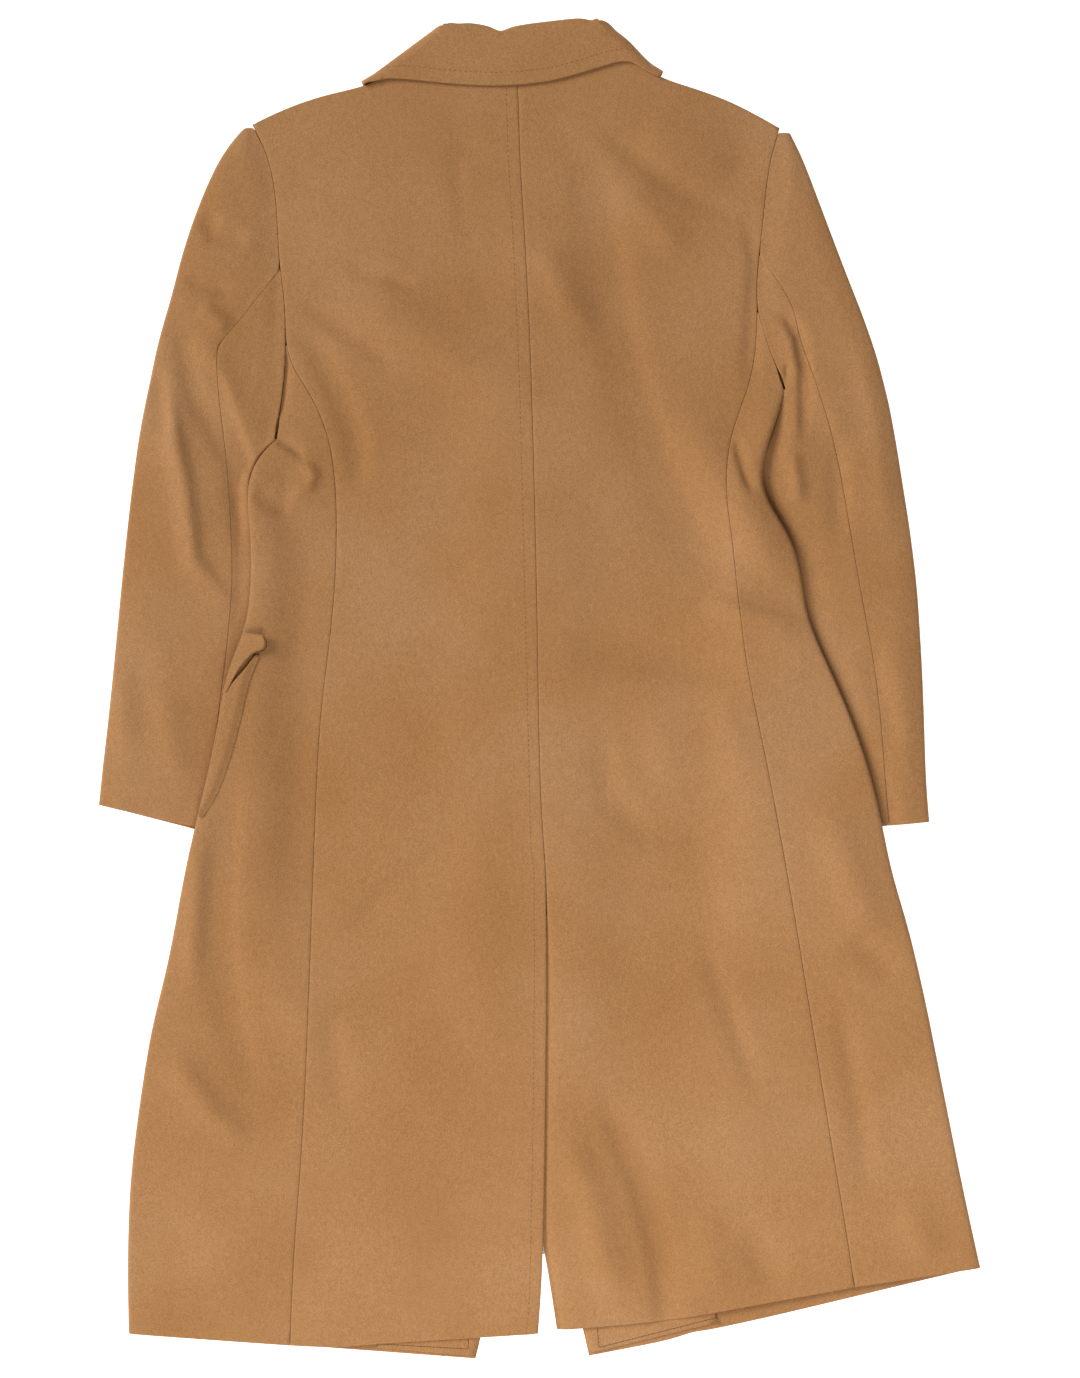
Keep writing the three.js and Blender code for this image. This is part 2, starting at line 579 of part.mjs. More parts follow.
// Under the front, columns are set where the cloth climbs the sleeve and where it laps over the other front.
function frontShares(side) {
  return {
    top: () => [],
    under: (from, to) => {
      const inner = side.sleeveInner(from.y);
      const lap = side.sign < 0 ? rightSide.frontEdge(from.y) : to.x + 50;
      const first = shareAt(from, to, inner - side.sign * 6, 0.02, 0.5);
      const second = shareAt(from, to, inner - side.sign * 36, first + 0.02, 0.7);
      const third = shareAt(from, to, lap + side.sign * slopes.lap.from, second + 0.02, 0.93);
      const fourth = shareAt(from, to, lap + side.sign * slopes.lap.to, third + 0.02, 0.97);
      return [first, second, Math.min(third, fourth - 0.02), fourth];
    },
  };
}

function frontPanel(name, side, sideHeights, topLine) {
  const top = sum(wrapColumns.top);
  const under = sum(wrapColumns.under);
  const folded = top + wrapColumns.fold;
  const columns = folded + under;
  const { armpit } = side.level;
  const floor = (x, y) => frontFloor(side, x, y);
  const lower = (i) => {
    const share = (i - armpitRow) / rowsTo.hem;
    const drift = smooth(0.3, 1, share);
    const y = sideHeights[i];
    const edgeY = y + (side.hem.edge - side.hem.princess) * drift;
    const frontY = y + (side.hem.front - side.hem.princess) * drift;
    const start = shifted(onLine(side.princess, y), side.sign * seamSide);
    const roundness = mix(0.62, 1, smooth(0, 0.06, share));
    const row = wrapRow({
      start, edge: onLine(side.edge, edgeY), end: onLine(side.frontEdge, frontY), top: bodyTop, floor,
      columns: wrapColumns, roundness, shares: frontShares(side),
    });
    for (let j = 0; j <= under; j += 1) {
      const sag = -side.hemSag.under * Math.sin((2 * Math.PI * j) / under) ** 2 * drift;
      row[folded + j].outer.y += sag;
      row[folded + j].inner.y += sag;
    }
    return row;
  };
  const first = lower(armpitRow);
  const underRow = (j) => {
    const place = first[folded + j].outer;
    return { x: place.x, y: place.y };
  };
  const outward = (i) => shifted(onLine(side.frontArmhole, sideHeights[i]), -side.sign * seamSide);
  const neckY = topLine[topLine.length - 1].y;
  const topLeft = { x: topLine[0].x - side.sign * seamSide, y: topLine[0].y };
  const corners = {
    topLeft,
    topRight: { x: topLine[topLine.length - 1].x, y: neckY },
    bottomLeft: underRow(0),
    bottomRight: underRow(under),
  };
  const rows = [];
  for (let i = 0; i < armpitRow; i += 1) {
    const row = new Array(columns + 1).fill(null);
    if (i >= princessRow) {
      const pair = (k) => ({
        seam: shifted(onLine(side.princess, sideHeights[k]), side.sign * seamSide),
        arm: shifted(onLine(side.armhole, sideHeights[k]), -side.sign * seamSide),
      });
      let { seam, arm } = pair(i);
      if (i === princessRow) {
        const next = pair(i + 1);
        seam = between(seam, next.seam, tipShare);
        arm = between(arm, next.arm, tipShare);
      }
      for (let j = 0; j <= top; j += 1) row[j] = upperPlace(between(seam, arm, j / top), bodyTop);
    }
    const v = (sideHeights[0] - sideHeights[i]) / (sideHeights[0] - armpit);
    const left = i === 0 ? topLeft : outward(i);
    const right = onLine(side.frontEdge, mix(neckY, armpit, v));
    for (let j = 0; j <= under; j += 1) {
      const u = j / under;
      const head = { x: topLine[j].x - side.sign * seamSide * (1 - u), y: topLine[j].y };
      row[folded + j] = underPlace(patch(head, underRow(j), left, right, corners, u, v), floor);
    }
    rows.push(row);
  }
  for (let i = armpitRow; i <= hemRow; i += 1) rows.push(i === armpitRow ? first : lower(i));
  return wall(name, rows, wool, (r, c) => r < armpitRow && c >= top && c < folded);
}

// Sleeve rows below the armpit slope gently to the line of the cuff.
function sleeveRow(side, heights, i, end) {
  const share = Math.max(0, (i - armpitRow) / rowsTo.cuff);
  return heights[i] + (side.cuff[end] - side.cuff.outer) * share;
}

// Over a sleeve, columns are set where it comes out from under the body.
function sleeveShares(side, aboveArmpit, steps) {
  return {
    top: (from, to) => {
      const body = aboveArmpit ? side.armhole(from.y) : side.edge(from.y);
      const outward = steps[1] > steps[0];
      const near = shareAt(from, to, body + side.sign * steps[0], outward ? 0.08 : 0.3, outward ? 0.6 : 0.84);
      const far = shareAt(from, to, body + side.sign * steps[1], near + 0.08, outward ? 0.8 : 0.94);
      return [near, far];
    },
    under: () => [],
  };
}

function topSleeve(name, side) {
  const heights = sideRows(side, side.cuff.outer, rowsTo.cuff);
  const top = (x, y) => sleeveTop(side, x, y);
  const rows = [];
  for (let i = 0; i <= cuffRow; i += 1) {
    const seamY = sleeveRow(side, heights, i, 'elbow');
    const foreY = sleeveRow(side, heights, i, 'fore');
    const upper = i <= elbowRow ? side.armhole : side.elbowSeam;
    const lower = i < armpitRow ? side.frontArmhole : side.foreSeam;
    const start = shifted(onLine(upper, seamY), side.sign * seamSide);
    const end = shifted(onLine(lower, foreY), side.sign * seamSide);
    rows.push(wrapRow({
      start, edge: onLine(side.sleeveOuter, heights[i]), end, top, floor: () => 0,
      columns: sleeveColumns, roundness: 1, shares: sleeveShares(side, i < armpitRow, [5, 18]),
    }));
  }
  return wall(name, rows, wool);
}

function underSleeve(name, side) {
  const heights = sideRows(side, side.cuff.outer, rowsTo.cuff);
  const top = (x, y) => sleeveTop(side, x, y);
  const columns = underSleeveColumns;
  const across = sum(columns.top);
  const folded = across + columns.fold;
  const rows = [];
  for (let i = elbowRow; i <= cuffRow; i += 1) {
    const seam = (k) => shifted(onLine(side.elbowSeam, sleeveRow(side, heights, k, 'elbow')), -side.sign * seamSide);
    const arm = (k) => shifted(onLine(side.armhole, heights[k]), side.sign * seamSide);
    const fore = (k) => shifted(onLine(side.foreSeam, sleeveRow(side, heights, k, 'fore')), -side.sign * seamSide);
    if (i >= armpitRow) {
      const edge = onLine(side.sleeveInner, sleeveRow(side, heights, i, 'inner'));
      const roundness = mix(0.62, 1, smooth(0, 2, i - armpitRow));
      rows.push(wrapRow({
        start: seam(i), edge, end: fore(i), top, floor: () => 0, columns, roundness,
        shares: sleeveShares(side, false, [18, 5]),
      }));
      continue;
    }
    const row = new Array(folded + sum(columns.under) + 1).fill(null);
    let from = seam(i);
    let to = arm(i);
    if (i === elbowRow) {
      from = between(from, seam(i + 1), tipShare);
      to = between(to, arm(i + 1), tipShare);
    }
    for (let j = 0; j <= across; j += 1) row[j] = upperPlace(between(from, to, j / across), top);
    rows.push(row);
  }
  const rowsAbove = armpitRow - elbowRow;
  return wall(name, rows, wool, (r, c) => r < rowsAbove && c >= across);
}

// The collar goes round the neck: under the left front, over the back and under the right front.
// Each row runs from the collar's outer edge over the roll line and back down the stand to the neck seam.
const collarMiddle = collarLift + layHeight / 2;
const fallOuter = collarMiddle;
const fallInner = fallOuter - collarCloth;
const standOuter = fallInner - collarClear;
const standInner = standOuter - collarCloth;
const collarColumns = { fall: 5, roll: 4, stand: 3 };
const collarTurns = 5;

const collarTop = [
  { edge: { x: -129, y: 500 }, roll: { x: -74, y: 542.5 }, neck: { x: -103, y: 513.5 } },
  { edge: { x: -113, y: 499.7 }, roll: { x: -66, y: 543.2 }, neck: { x: -92, y: 513 } },
  { edge: { x: -95, y: 497.8 }, roll: { x: -58.6, y: 543.4 }, neck: { x: -78, y: 513 } },
  { edge: { x: -77.7, y: 495.9 }, roll: { x: -50, y: 541.9 }, neck: { x: -64, y: 513 } },
  { edge: { x: -58, y: 494.6 }, roll: { x: -42, y: 540 }, neck: { x: -50, y: 513 } },
  { edge: { x: -38, y: 493.8 }, roll: { x: -32, y: 537.3 }, neck: { x: -35, y: 513 } },
  { edge: { x: -17.6, y: 494.5 }, roll: { x: -18, y: 540.6 }, neck: { x: -18, y: 513 } },
  { edge: { x: -4, y: 496 }, roll: { x: -4, y: 542.7 }, neck: { x: -4, y: 513.6 } },
  { edge: { x: 12, y: 498.3 }, roll: { x: 10, y: 544.2 }, neck: { x: 10, y: 514.4 } },
  { edge: { x: 34.4, y: 504.5 }, roll: { x: 26, y: 546.2 }, neck: { x: 28, y: 516 } },
  { edge: { x: 52, y: 510 }, roll: { x: 36, y: 546.9 }, neck: { x: 42, y: 518 } },
  { edge: { x: 66, y: 514 }, roll: { x: 43, y: 545 }, neck: { x: 52, y: 519.5 } },
  { edge: { x: 78, y: 512.5 }, roll: { x: 47, y: 542.8 }, neck: { x: 58, y: 521 } },
];
const collarFold = {
  left: { edge: { x: -141.4, y: 491.7 }, roll: { x: -82, y: 535.7 }, neck: { x: -112.8, y: 512.9 } },
  right: { edge: { x: 94.6, y: 500.4 }, roll: { x: 51, y: 539.4 }, neck: { x: 71, y: 521.5 } },
};
const collarUnder = {
  left: [
    { edge: { x: -136, y: 470 }, roll: { x: -76, y: 512 }, neck: { x: -106, y: 494 } },
    { edge: { x: -118, y: 436 }, roll: { x: -56, y: 476 }, neck: { x: -86, y: 464 } },
    { edge: { x: -99, y: 406 }, roll: { x: -34, y: 446 }, neck: { x: -58, y: 442 } },
    { edge: { x: -84, y: 390 }, roll: { x: -12, y: 430 }, neck: { x: -26, y: 430 } },
  ],
  right: [
    { edge: { x: 91, y: 474 }, roll: { x: 46, y: 510 }, neck: { x: 66, y: 496 } },
    { edge: { x: 80, y: 440 }, roll: { x: 30, y: 474 }, neck: { x: 54, y: 464 } },
    { edge: { x: 66, y: 408 }, roll: { x: 12, y: 446 }, neck: { x: 32, y: 442 } },
    { edge: { x: 58, y: 390 }, roll: { x: -8, y: 430 }, neck: { x: 5, y: 430 } },
  ],
};

function collarRow({ edge, roll, neck }, normal) {
  const at = (point, out, shift) => new THREE.Vector3(
    point.x + normal.x * out + shift.x,
    point.y + normal.y * out + shift.y,
    collarMiddle + normal.z * out,
  );
  const none = { x: 0, y: 0 };
  const reach = Math.hypot(edge.x - roll.x, edge.y - roll.y);
  const toEdge = { x: (edge.x - roll.x) / reach, y: (edge.y - roll.y) / reach };
  const places = [];
  for (let i = 0; i < collarColumns.fall; i += 1) {
    const point = between(edge, roll, i / collarColumns.fall);
    places.push({ outer: at(point, fallOuter, none), inner: at(point, fallInner, none) });
  }
  const centre = (fallOuter + standInner) / 2;
  const big = (fallOuter - standInner) / 2;
  const small = big - collarCloth;
  for (let i = 0; i <= collarColumns.roll; i += 1) {
    const angle = (Math.PI * i) / collarColumns.roll;
    const turn = (radius) => at(roll, centre + radius * Math.cos(angle), {
      x: -toEdge.x * radius * Math.sin(angle),
      y: -toEdge.y * radius * Math.sin(angle),
    });
    places.push({ outer: turn(big), inner: turn(small) });
  }
  for (let i = 1; i <= collarColumns.stand; i += 1) {
    const point = between(roll, neck, i / collarColumns.stand);
    places.push({ outer: at(point, standInner, none), inner: at(point, standOuter, none) });
  }
  return places;
}

function collar() {
  const up = new THREE.Vector3(0, 0, 1);
  const down = new THREE.Vector3(0, 0, -1);
  const turned = (fold, sign, i) => {
    const dx = fold.roll.x - fold.edge.x;
    const dy = fold.roll.y - fold.edge.y;
    const length = Math.hypot(dx, dy);
    const angle = Math.PI * (0.5 - i / collarTurns);
    return new THREE.Vector3(
      (sign * dy * Math.cos(angle)) / length,
      (-sign * dx * Math.cos(angle)) / length,
      Math.sin(angle),
    );
  };
  const rows = [];
  for (const row of [...collarUnder.left].reverse()) rows.push(collarRow(row, down));
  for (let i = collarTurns; i >= 0; i -= 1) rows.push(collarRow(collarFold.left, turned(collarFold.left, -1, i)));
  for (const row of collarTop) rows.push(collarRow(row, up));
  for (let i = 0; i <= collarTurns; i += 1) rows.push(collarRow(collarFold.right, turned(collarFold.right, 1, i)));
  for (const row of collarUnder.right) rows.push(collarRow(row, down));
  return wall('collar', rows, wool);
}

// The left slanted pocket: a welt on the side of the front, and its upper end, turned up.
const weltRows = [
  { y: 24, from: -234, to: -230.5 }, { y: 14, from: -242.5, to: -234.4 }, { y: 4, from: -252, to: -237.6 },
  { y: -4, from: -258, to: -239.4 }, { y: -18, from: -259, to: -242.5 }, { y: -34, from: -261.5, to: -246.1 },
  { y: -50, from: -265, to: -250.5 }, { y: -66, from: -269, to: -255.4 }, { y: -80, from: -272.3, to: -261 },
  { y: -92, from: -275, to: -267 }, { y: -100, from: -276.8, to: -272.6 },
];
const pocketEndRows = [
  { from: { x: -241, y: 46 }, to: { x: -226, y: 45 } },
  { from: { x: -244.5, y: 38 }, to: { x: -227.5, y: 36 } },
  { from: { x: -248.5, y: 28 }, to: { x: -236, y: 28.5 } },
  { from: { x: -252, y: 19 }, to: { x: -244, y: 19 } },
  { from: { x: -256, y: 8 }, to: { x: -253, y: 8 } },
];
const weltCloth = 2.2;
const pocketClear = 0.5;
const pocketEndTilt = 3;

function pocketWelt() {
  const columns = 3;
  const top = (x, y) => bodyTop(x, y) + pocketClear + weltCloth;
  const rows = weltRows.map(({ y, from, to }) => {
    const row = [];
    for (let j = 0; j <= columns; j += 1) row.push(upperPlace({ x: mix(from, to, j / columns), y }, top, weltCloth));
    return row;
  });
  return wall('pocket_welt_left', rows, wool);
}

function pocketEnd() {
  const columns = 2;
  const rows = pocketEndRows.map(({ from, to }, i) => {
    const row = [];
    for (let j = 0; j <= columns; j += 1) {
      const raised = (pocketEndTilt * j * (pocketEndRows.length - i)) / (columns * pocketEndRows.length);
      const top = (x, y) => bodyTop(x, y) + pocketClear + weltCloth + raised;
      row.push(upperPlace(between(from, to, j / columns), top, weltCloth));
    }
    return row;
  });
  return wall('pocket_end_left', rows, wool);
}

// The turned-in front edges, where they show at the two front corners of the hem.
const hemInset = 2.4;

function facing(name, side, { width, height, rise }) {
  const rowCount = 4;
  const columns = 4;
  const bottom = side.hem.front;
  const rows = [];
  for (let i = 0; i <= rowCount; i += 1) {
    const row = [];
    for (let j = 0; j <= columns; j += 1) {
      const inset = mix(2, width, j / columns);
      const base = bottom + hemInset + rise * inset + height * (1 - i / rowCount);
      const x = side.frontEdge(base) + side.sign * inset;
      const top = (px, py) => frontFloor(side, px, py) + 2 * cloth + layClear;
      row.push(upperPlace({ x, y: base }, top));
    }
    rows.push(row);
  }
  return wall(name, rows, wool);
}

function coatButton(name, y) {
  const { radius, thickness } = button;
  const profile = [
    [0, 0.5], [radius * 0.62, 0.5], [radius * 0.7, 0], [radius * 0.92, 0], [radius, 0.7],
    [radius, thickness - 0.7], [radius * 0.92, thickness], [0, thickness],
  ];
  const geometry = new THREE.LatheGeometry(profile.map(([r, z]) => new THREE.Vector2(r, z)), 20);
  const material = new THREE.MeshStandardMaterial({ color: 0x4a3020, roughness: 0.4, metalness: 0 });
  const mesh = new THREE.Mesh(geometry, material);
  mesh.name = name;
  mesh.rotation.x = Math.PI / 2;
  mesh.position.set(button.x, y, 0);
  return mesh;
}

const coat = new THREE.Group();
coat.add(backPanel('back_left', leftSide, rowsLeft, shoulderLine.left, backHemSag.left));
coat.add(backPanel('back_right', rightSide, rowsRight, shoulderLine.right, backHemSag.right));
coat.add(frontPanel('front_left', leftSide, rowsLeft, frontTopLine.left));
coat.add(frontPanel('front_right', rightSide, rowsRight, frontTopLine.right));
coat.add(topSleeve('sleeve_top_left', leftSide));
coat.add(underSleeve('sleeve_under_left', leftSide));
coat.add(topSleeve('sleeve_top_right', rightSide));
coat.add(underSleeve('sleeve_under_right', rightSide));
coat.add(collar());
coat.add(pocketWelt());
coat.add(pocketEnd());
coat.add(facing('facing_left', leftSide, { width: 84, height: 70, rise: 0.083 }));
coat.add(facing('facing_right', rightSide, { width: 112, height: 70, rise: 0.229 }));
button.ys.forEach((y, i) => coat.add(coatButton(`button_${i + 1}`, y)));

export default coat;
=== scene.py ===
import math

import bmesh
import bpy
import numpy as np
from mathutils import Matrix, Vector


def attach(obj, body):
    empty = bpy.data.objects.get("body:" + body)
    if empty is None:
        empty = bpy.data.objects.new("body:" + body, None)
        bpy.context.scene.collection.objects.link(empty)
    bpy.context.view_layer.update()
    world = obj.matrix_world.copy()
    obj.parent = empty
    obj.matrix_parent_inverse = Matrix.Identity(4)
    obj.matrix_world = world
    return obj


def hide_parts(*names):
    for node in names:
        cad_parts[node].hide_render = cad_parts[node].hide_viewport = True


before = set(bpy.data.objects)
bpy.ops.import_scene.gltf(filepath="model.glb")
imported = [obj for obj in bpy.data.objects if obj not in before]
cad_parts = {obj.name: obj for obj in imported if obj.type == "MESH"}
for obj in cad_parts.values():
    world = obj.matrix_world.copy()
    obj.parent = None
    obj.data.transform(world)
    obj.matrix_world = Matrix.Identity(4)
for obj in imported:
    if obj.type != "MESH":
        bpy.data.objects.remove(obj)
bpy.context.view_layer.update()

# A camel wool overcoat, laid face down with its back upward
# Its hem is at the lower end of y, and left and right are the sides as seen from above.
# The tables give places on the coat in millimetres.
MM = 0.001
LAY = 8.2 * MM
SLEEVE_LIFT = 8.5 * MM
COLLAR_LIFT = 3.4 * MM
PHOTO_HEIGHT = 1378
MM_PER_PIXEL = 0.82

# How the edges of the cloth are kept crisp, and how far each is drawn out to close its seam
RIM_ANGLE = math.radians(58)
CORNER_COSINE = -0.88
LEAST_OUTWARD = 0.2
SEAM_CLOSE = 0.13 * MM
SAME_PLACE = 0.01 * MM
CLOTH_SOFTNESS = 0.5
BUTTON_SOFTNESS = 0.6
PANEL_LEVELS = 3
SMALL_LEVELS = 2
BUTTON_LEVELS = 1


def smooth(low, high, value):
    t = np.clip((value - low) / (high - low), 0.0, 1.0)
    return t * t * (3.0 - 2.0 * t)


def deselect_all():
    bpy.ops.object.select_all(action="DESELECT")


def make_active(obj):
    deselect_all()
    obj.select_set(True)
    bpy.context.view_layer.objects.active = obj


def points_of(obj):
    flat = np.empty(len(obj.data.vertices) * 3, dtype=np.float32)
    obj.data.vertices.foreach_get("co", flat)
    return flat.reshape(-1, 3).astype(np.float64)


def set_points(obj, points):
    obj.data.vertices.foreach_set("co", points.astype(np.float32).ravel())
    obj.data.update()


# Lines down the coat, as rows of (y, x), for its left side (-1) and its right side (1): the inner edge of
# the sleeve under the body, the outer edge of the body, and the armhole seam.
SLEEVE_INNER = {
    -1: [
        (205, -217), (193, -229.6), (183, -235.4), (173, -239.4), (163, -238), (139, -232.5),
        (106, -228), (-9, -234), (-128, -231),
    ],
    1: [
        (246, 201.8), (222, 195.6), (198, 187), (185, 180), (165, 173.5), (106, 171),
        (-9, 172.6), (-121, 176),
    ],
}
BODY_EDGE = {
    -1: [
        (205, -216), (193, -228.4), (173, -238.2), (163, -239.4), (139, -237.4), (106, -236.6),
        (53, -240.2), (24, -252.6), (-3, -261.2), (-25, -262.5), (-57, -269.4), (-96, -278.4),
        (-157, -292.3),
    ],
    1: [
        (246, 200.5), (222, 194.3), (198, 185.7), (166, 178.8), (156, 184.1), (140, 194.3), (131, 203.8),
        (91, 215.3), (65, 217.7), (45, 225.1), (-1, 246.4), (-56, 266.9), (-113, 281.3), (-136, 285),
    ],
}
ARMHOLE = {
    -1: [
        (463, -236), (424, -219.5), (385, -215.3), (343, -212.8), (311, -208.7), (257, -209.5),
        (205, -215.7),
    ],
    1: [
        (460, 197), (426, 188), (390, 184), (355, 180), (325, 178.4), (288, 186.6), (257, 198),
        (246, 200.5),
    ],
}
ARMPIT = {-1: 205 * MM, 1: 246 * MM}
CUFF = {-1: -128 * MM, 1: -121 * MM}

# Ranges over which the lift of the body fades: from no lift to full lift
LIFT_BELOW_ARMPIT = (0, 33 * MM)
LIFT_BELOW_CUFF = (112 * MM, 42 * MM)
LIFT_INSIDE_SLEEVE = (36 * MM, 5 * MM)
COLLAR_LIFT_LEFT = (-206 * MM, -164 * MM)
COLLAR_LIFT_RIGHT = (162 * MM, 118 * MM)
COLLAR_LIFT_BELOW = (332 * MM, 384 * MM)

# The open edges just below the armpit are drawn together.
ARMPIT_CLOSE = {"body": 1.0 * MM, "sleeve": 1.6 * MM}
ARMPIT_START = (4 * MM, -2 * MM)
ARMPIT_END = (95 * MM, 50 * MM)
ARMPIT_REACH = 7 * MM


def along(table, y):
    """x at height y, from rows of (y, x) that run down the coat. All in metres."""
    rows = np.array(table[::-1]) * MM
    return np.interp(y, rows[:, 0], rows[:, 1])


def body_floor(x, y):
    """Height at which the body lies, on the sleeves under its sides and on the collar under its neck."""
    floor = np.zeros_like(x)
    for side in (-1, 1):
        inside = side * (along(SLEEVE_INNER[side], y) - x)
        down = smooth(ARMPIT[side] - LIFT_BELOW_ARMPIT[0], ARMPIT[side] - LIFT_BELOW_ARMPIT[1], y)
        down *= smooth(CUFF[side] - LIFT_BELOW_CUFF[0], CUFF[side] - LIFT_BELOW_CUFF[1], y)
        floor += SLEEVE_LIFT * smooth(*LIFT_INSIDE_SLEEVE, inside) * down * (side * x > 0)
    collar = smooth(*COLLAR_LIFT_BELOW, y) * smooth(*COLLAR_LIFT_LEFT, x) * smooth(*COLLAR_LIFT_RIGHT, x)
    return floor + COLLAR_LIFT * collar


# Soft folds as bent lines of (x, y): ridges have a height above zero, and troughs below. The first width is
# on the left of the line as it runs, and the second on its right.
BODY_FOLDS = [
    {"at": [(0, 475), (41, 426), (56, 368), (66, 303), (82, 237), (105, 171), (132, 122), (181, 89),
            (214, 72)],
     "widths": (12, 22), "height": -2.2},
    {"at": [(120, 230), (144, 171), (181, 122), (205, 86)], "widths": (20, 16), "height": 2.2},
    {"at": [(66, 418), (119, 356)], "widths": (16, 12), "height": 1.4},
    {"at": [(82, 460), (164, 426)], "widths": (20, 18), "height": 1.2},
    {"at": [(50, 458), (124, 405), (164, 388)], "widths": (9, 9), "height": -1.5},
    {"at": [(0, 368), (25, 311), (49, 294)], "widths": (14, 12), "height": 1.2},
    {"at": [(-70, 475), (-49, 376), (-33, 294)], "widths": (16, 14), "height": -1.1},
    {"at": [(-160, 346), (-127, 339), (-98, 330)], "widths": (7, 8), "height": -1.1},
    {"at": [(-164, 331), (-114, 303), (-33, 253), (0, 221)], "widths": (28, 22), "height": 1.7},
    {"at": [(-197, 319), (-152, 290), (-115, 262)], "widths": (9, 8), "height": -1.2},
    {"at": [(-202, 293), (-182, 279), (-162, 238), (-150, 206), (-147, 158)], "widths": (8, 9),
     "height": -2.2},
    {"at": [(-210, 280), (-213, 250), (-215, 218)], "widths": (6, 6), "height": -2.2},
    {"at": [(-216, 205), (-205, 199), (-193, 189)], "widths": (5, 2.6), "height": -1.9},
    {"at": [(-231, 168), (-222, 154), (-203, 146)], "widths": (7, 8), "height": -1.5},
    {"at": [(-194, 187), (-185, 176), (-189, 166), (-206, 157)], "widths": (5, 6), "height": 1.5},
    {"at": [(16, 36), (82, 32), (148, 20), (214, 26)], "widths": (16, 15), "height": -2.2},
    {"at": [(131, 73), (180, 57), (220, 50)], "widths": (9, 12), "height": 1.6},
    {"at": [(82, -58), (181, -25)], "widths": (40, 34), "height": 1.6},
    {"at": [(49, -25), (58, -90), (90, -120), (148, -115), (181, -83)], "widths": (10, 12), "height": -1.2},
    {"at": [(-246, -58), (-253, -115), (-259, -198), (-250, -271), (-228, -345)], "widths": (9, 14),
     "height": -2.0},
    {"at": [(-277, -115), (-283, -198), (-286, -255)], "widths": (8, 9), "height": 1.3},
    {"at": [(-304, -296), (-270, -345), (-237, -374)], "widths": (11, 13), "height": 2.0},
    {"at": [(-324, -378), (-312, -435), (-287, -526)], "widths": (24, 30), "height": -2.2},
    {"at": [(-233, -222), (-196, -263), (-172, -288)], "widths": (24, 24), "height": 1.2},
    {"at": [(-160, -202), (-114, -157), (-49, -116)], "widths": (9, 9), "height": -1.1},
    {"at": [(-172, -263), (-160, -353)], "widths": (10, 12), "height": -0.9},
    {"at": [(-82, -157), (-49, -222), (-41, -300)], "widths": (34, 34), "height": 1.0},
    {"at": [(17, -353), (41, -419), (66, -517)], "widths": (16, 14), "height": 1.8},
    {"at": [(49, -329), (82, -402), (100, -468), (105, -542)], "widths": (13, 8), "height": -2.2},
    {"at": [(173, -443), (197, -493)], "widths": (11, 12), "height": -1.6},
    {"at": [(132, -419), (148, -501)], "widths": (15, 15), "height": 1.0},
    {"at": [(230, -91), (255, -157), (279, -214)], "widths": (16, 17), "height": 1.4},
    {"at": [(255, -198), (296, -239)], "widths": (12, 13), "height": -1.2},
    {"at": [(132, -198), (164, -288), (181, -337)], "widths": (9, 9), "height": -1.0},
    {"at": [(246, -255), (263, -353), (271, -419)], "widths": (9, 9), "height": -1.0},
    {"at": [(176, 160), (170, 170), (163, 197), (161, 206)], "widths": (4, 5), "height": -1.7},
    {"at": [(168, 389), (178, 352), (174, 294), (171, 237)], "widths": (8, 6), "height": -1.6},
    {"at": [(300, -420), (322, -470)], "widths": (16, 14), "height": 1.2},
]
SLEEVE_FOLDS = [
    {"at": [(-299, 311), (-278, 237), (-250, 188), (-241, 106)], "widths": (10, 10), "height": -2.4},
    {"at": [(-311, 262), (-291, 171), (-283, 106), (-250, 65)], "widths": (7, 10), "height": 2.2},
    {"at": [(-274, 393), (-266, 372), (-237, 368)], "widths": (7, 7), "height": -1.8},
    {"at": [(-273, 272), (-264, 248), (-254, 220), (-244, 194), (-236, 172)], "widths": (5, 7.5),
     "height": -2.5},
    {"at": [(-291, 335), (-250, 327)], "widths": (6, 6), "height": -1.3},
    {"at": [(-279, 315), (-253, 294)], "widths": (7, 7), "height": 1.5},
    {"at": [(-313, 262), (-305, 204)], "widths": (7, 8), "height": -2.0},
    {"at": [(-328, 40), (-319, -42)], "widths": (12, 12), "height": -1.0},
    {"at": [(-307, 0), (-295, -83)], "widths": (12, 12), "height": 1.0},
    {"at": [(-345, 20), (-340, -60)], "widths": (9, 9), "height": 0.8},
    {"at": [(188, 311), (203, 304), (212, 289), (217, 262), (217, 235), (215, 200)], "widths": (6, 4.5),
     "height": -2.3},
    {"at": [(204, 268), (201, 256), (199, 243)], "widths": (2.6, 3), "height": -1.6},
    {"at": [(245, 212), (246, 122)], "widths": (9, 9), "height": -1.4},
    {"at": [(262, 300), (276, 220), (284, 120)], "widths": (12, 12), "height": 1.0},
    {"at": [(270, 40), (292, -60)], "widths": (10, 10), "height": -1.0},
    {"at": [(206, 196), (214, 150)], "widths": (6, 6), "height": 1.6},
]

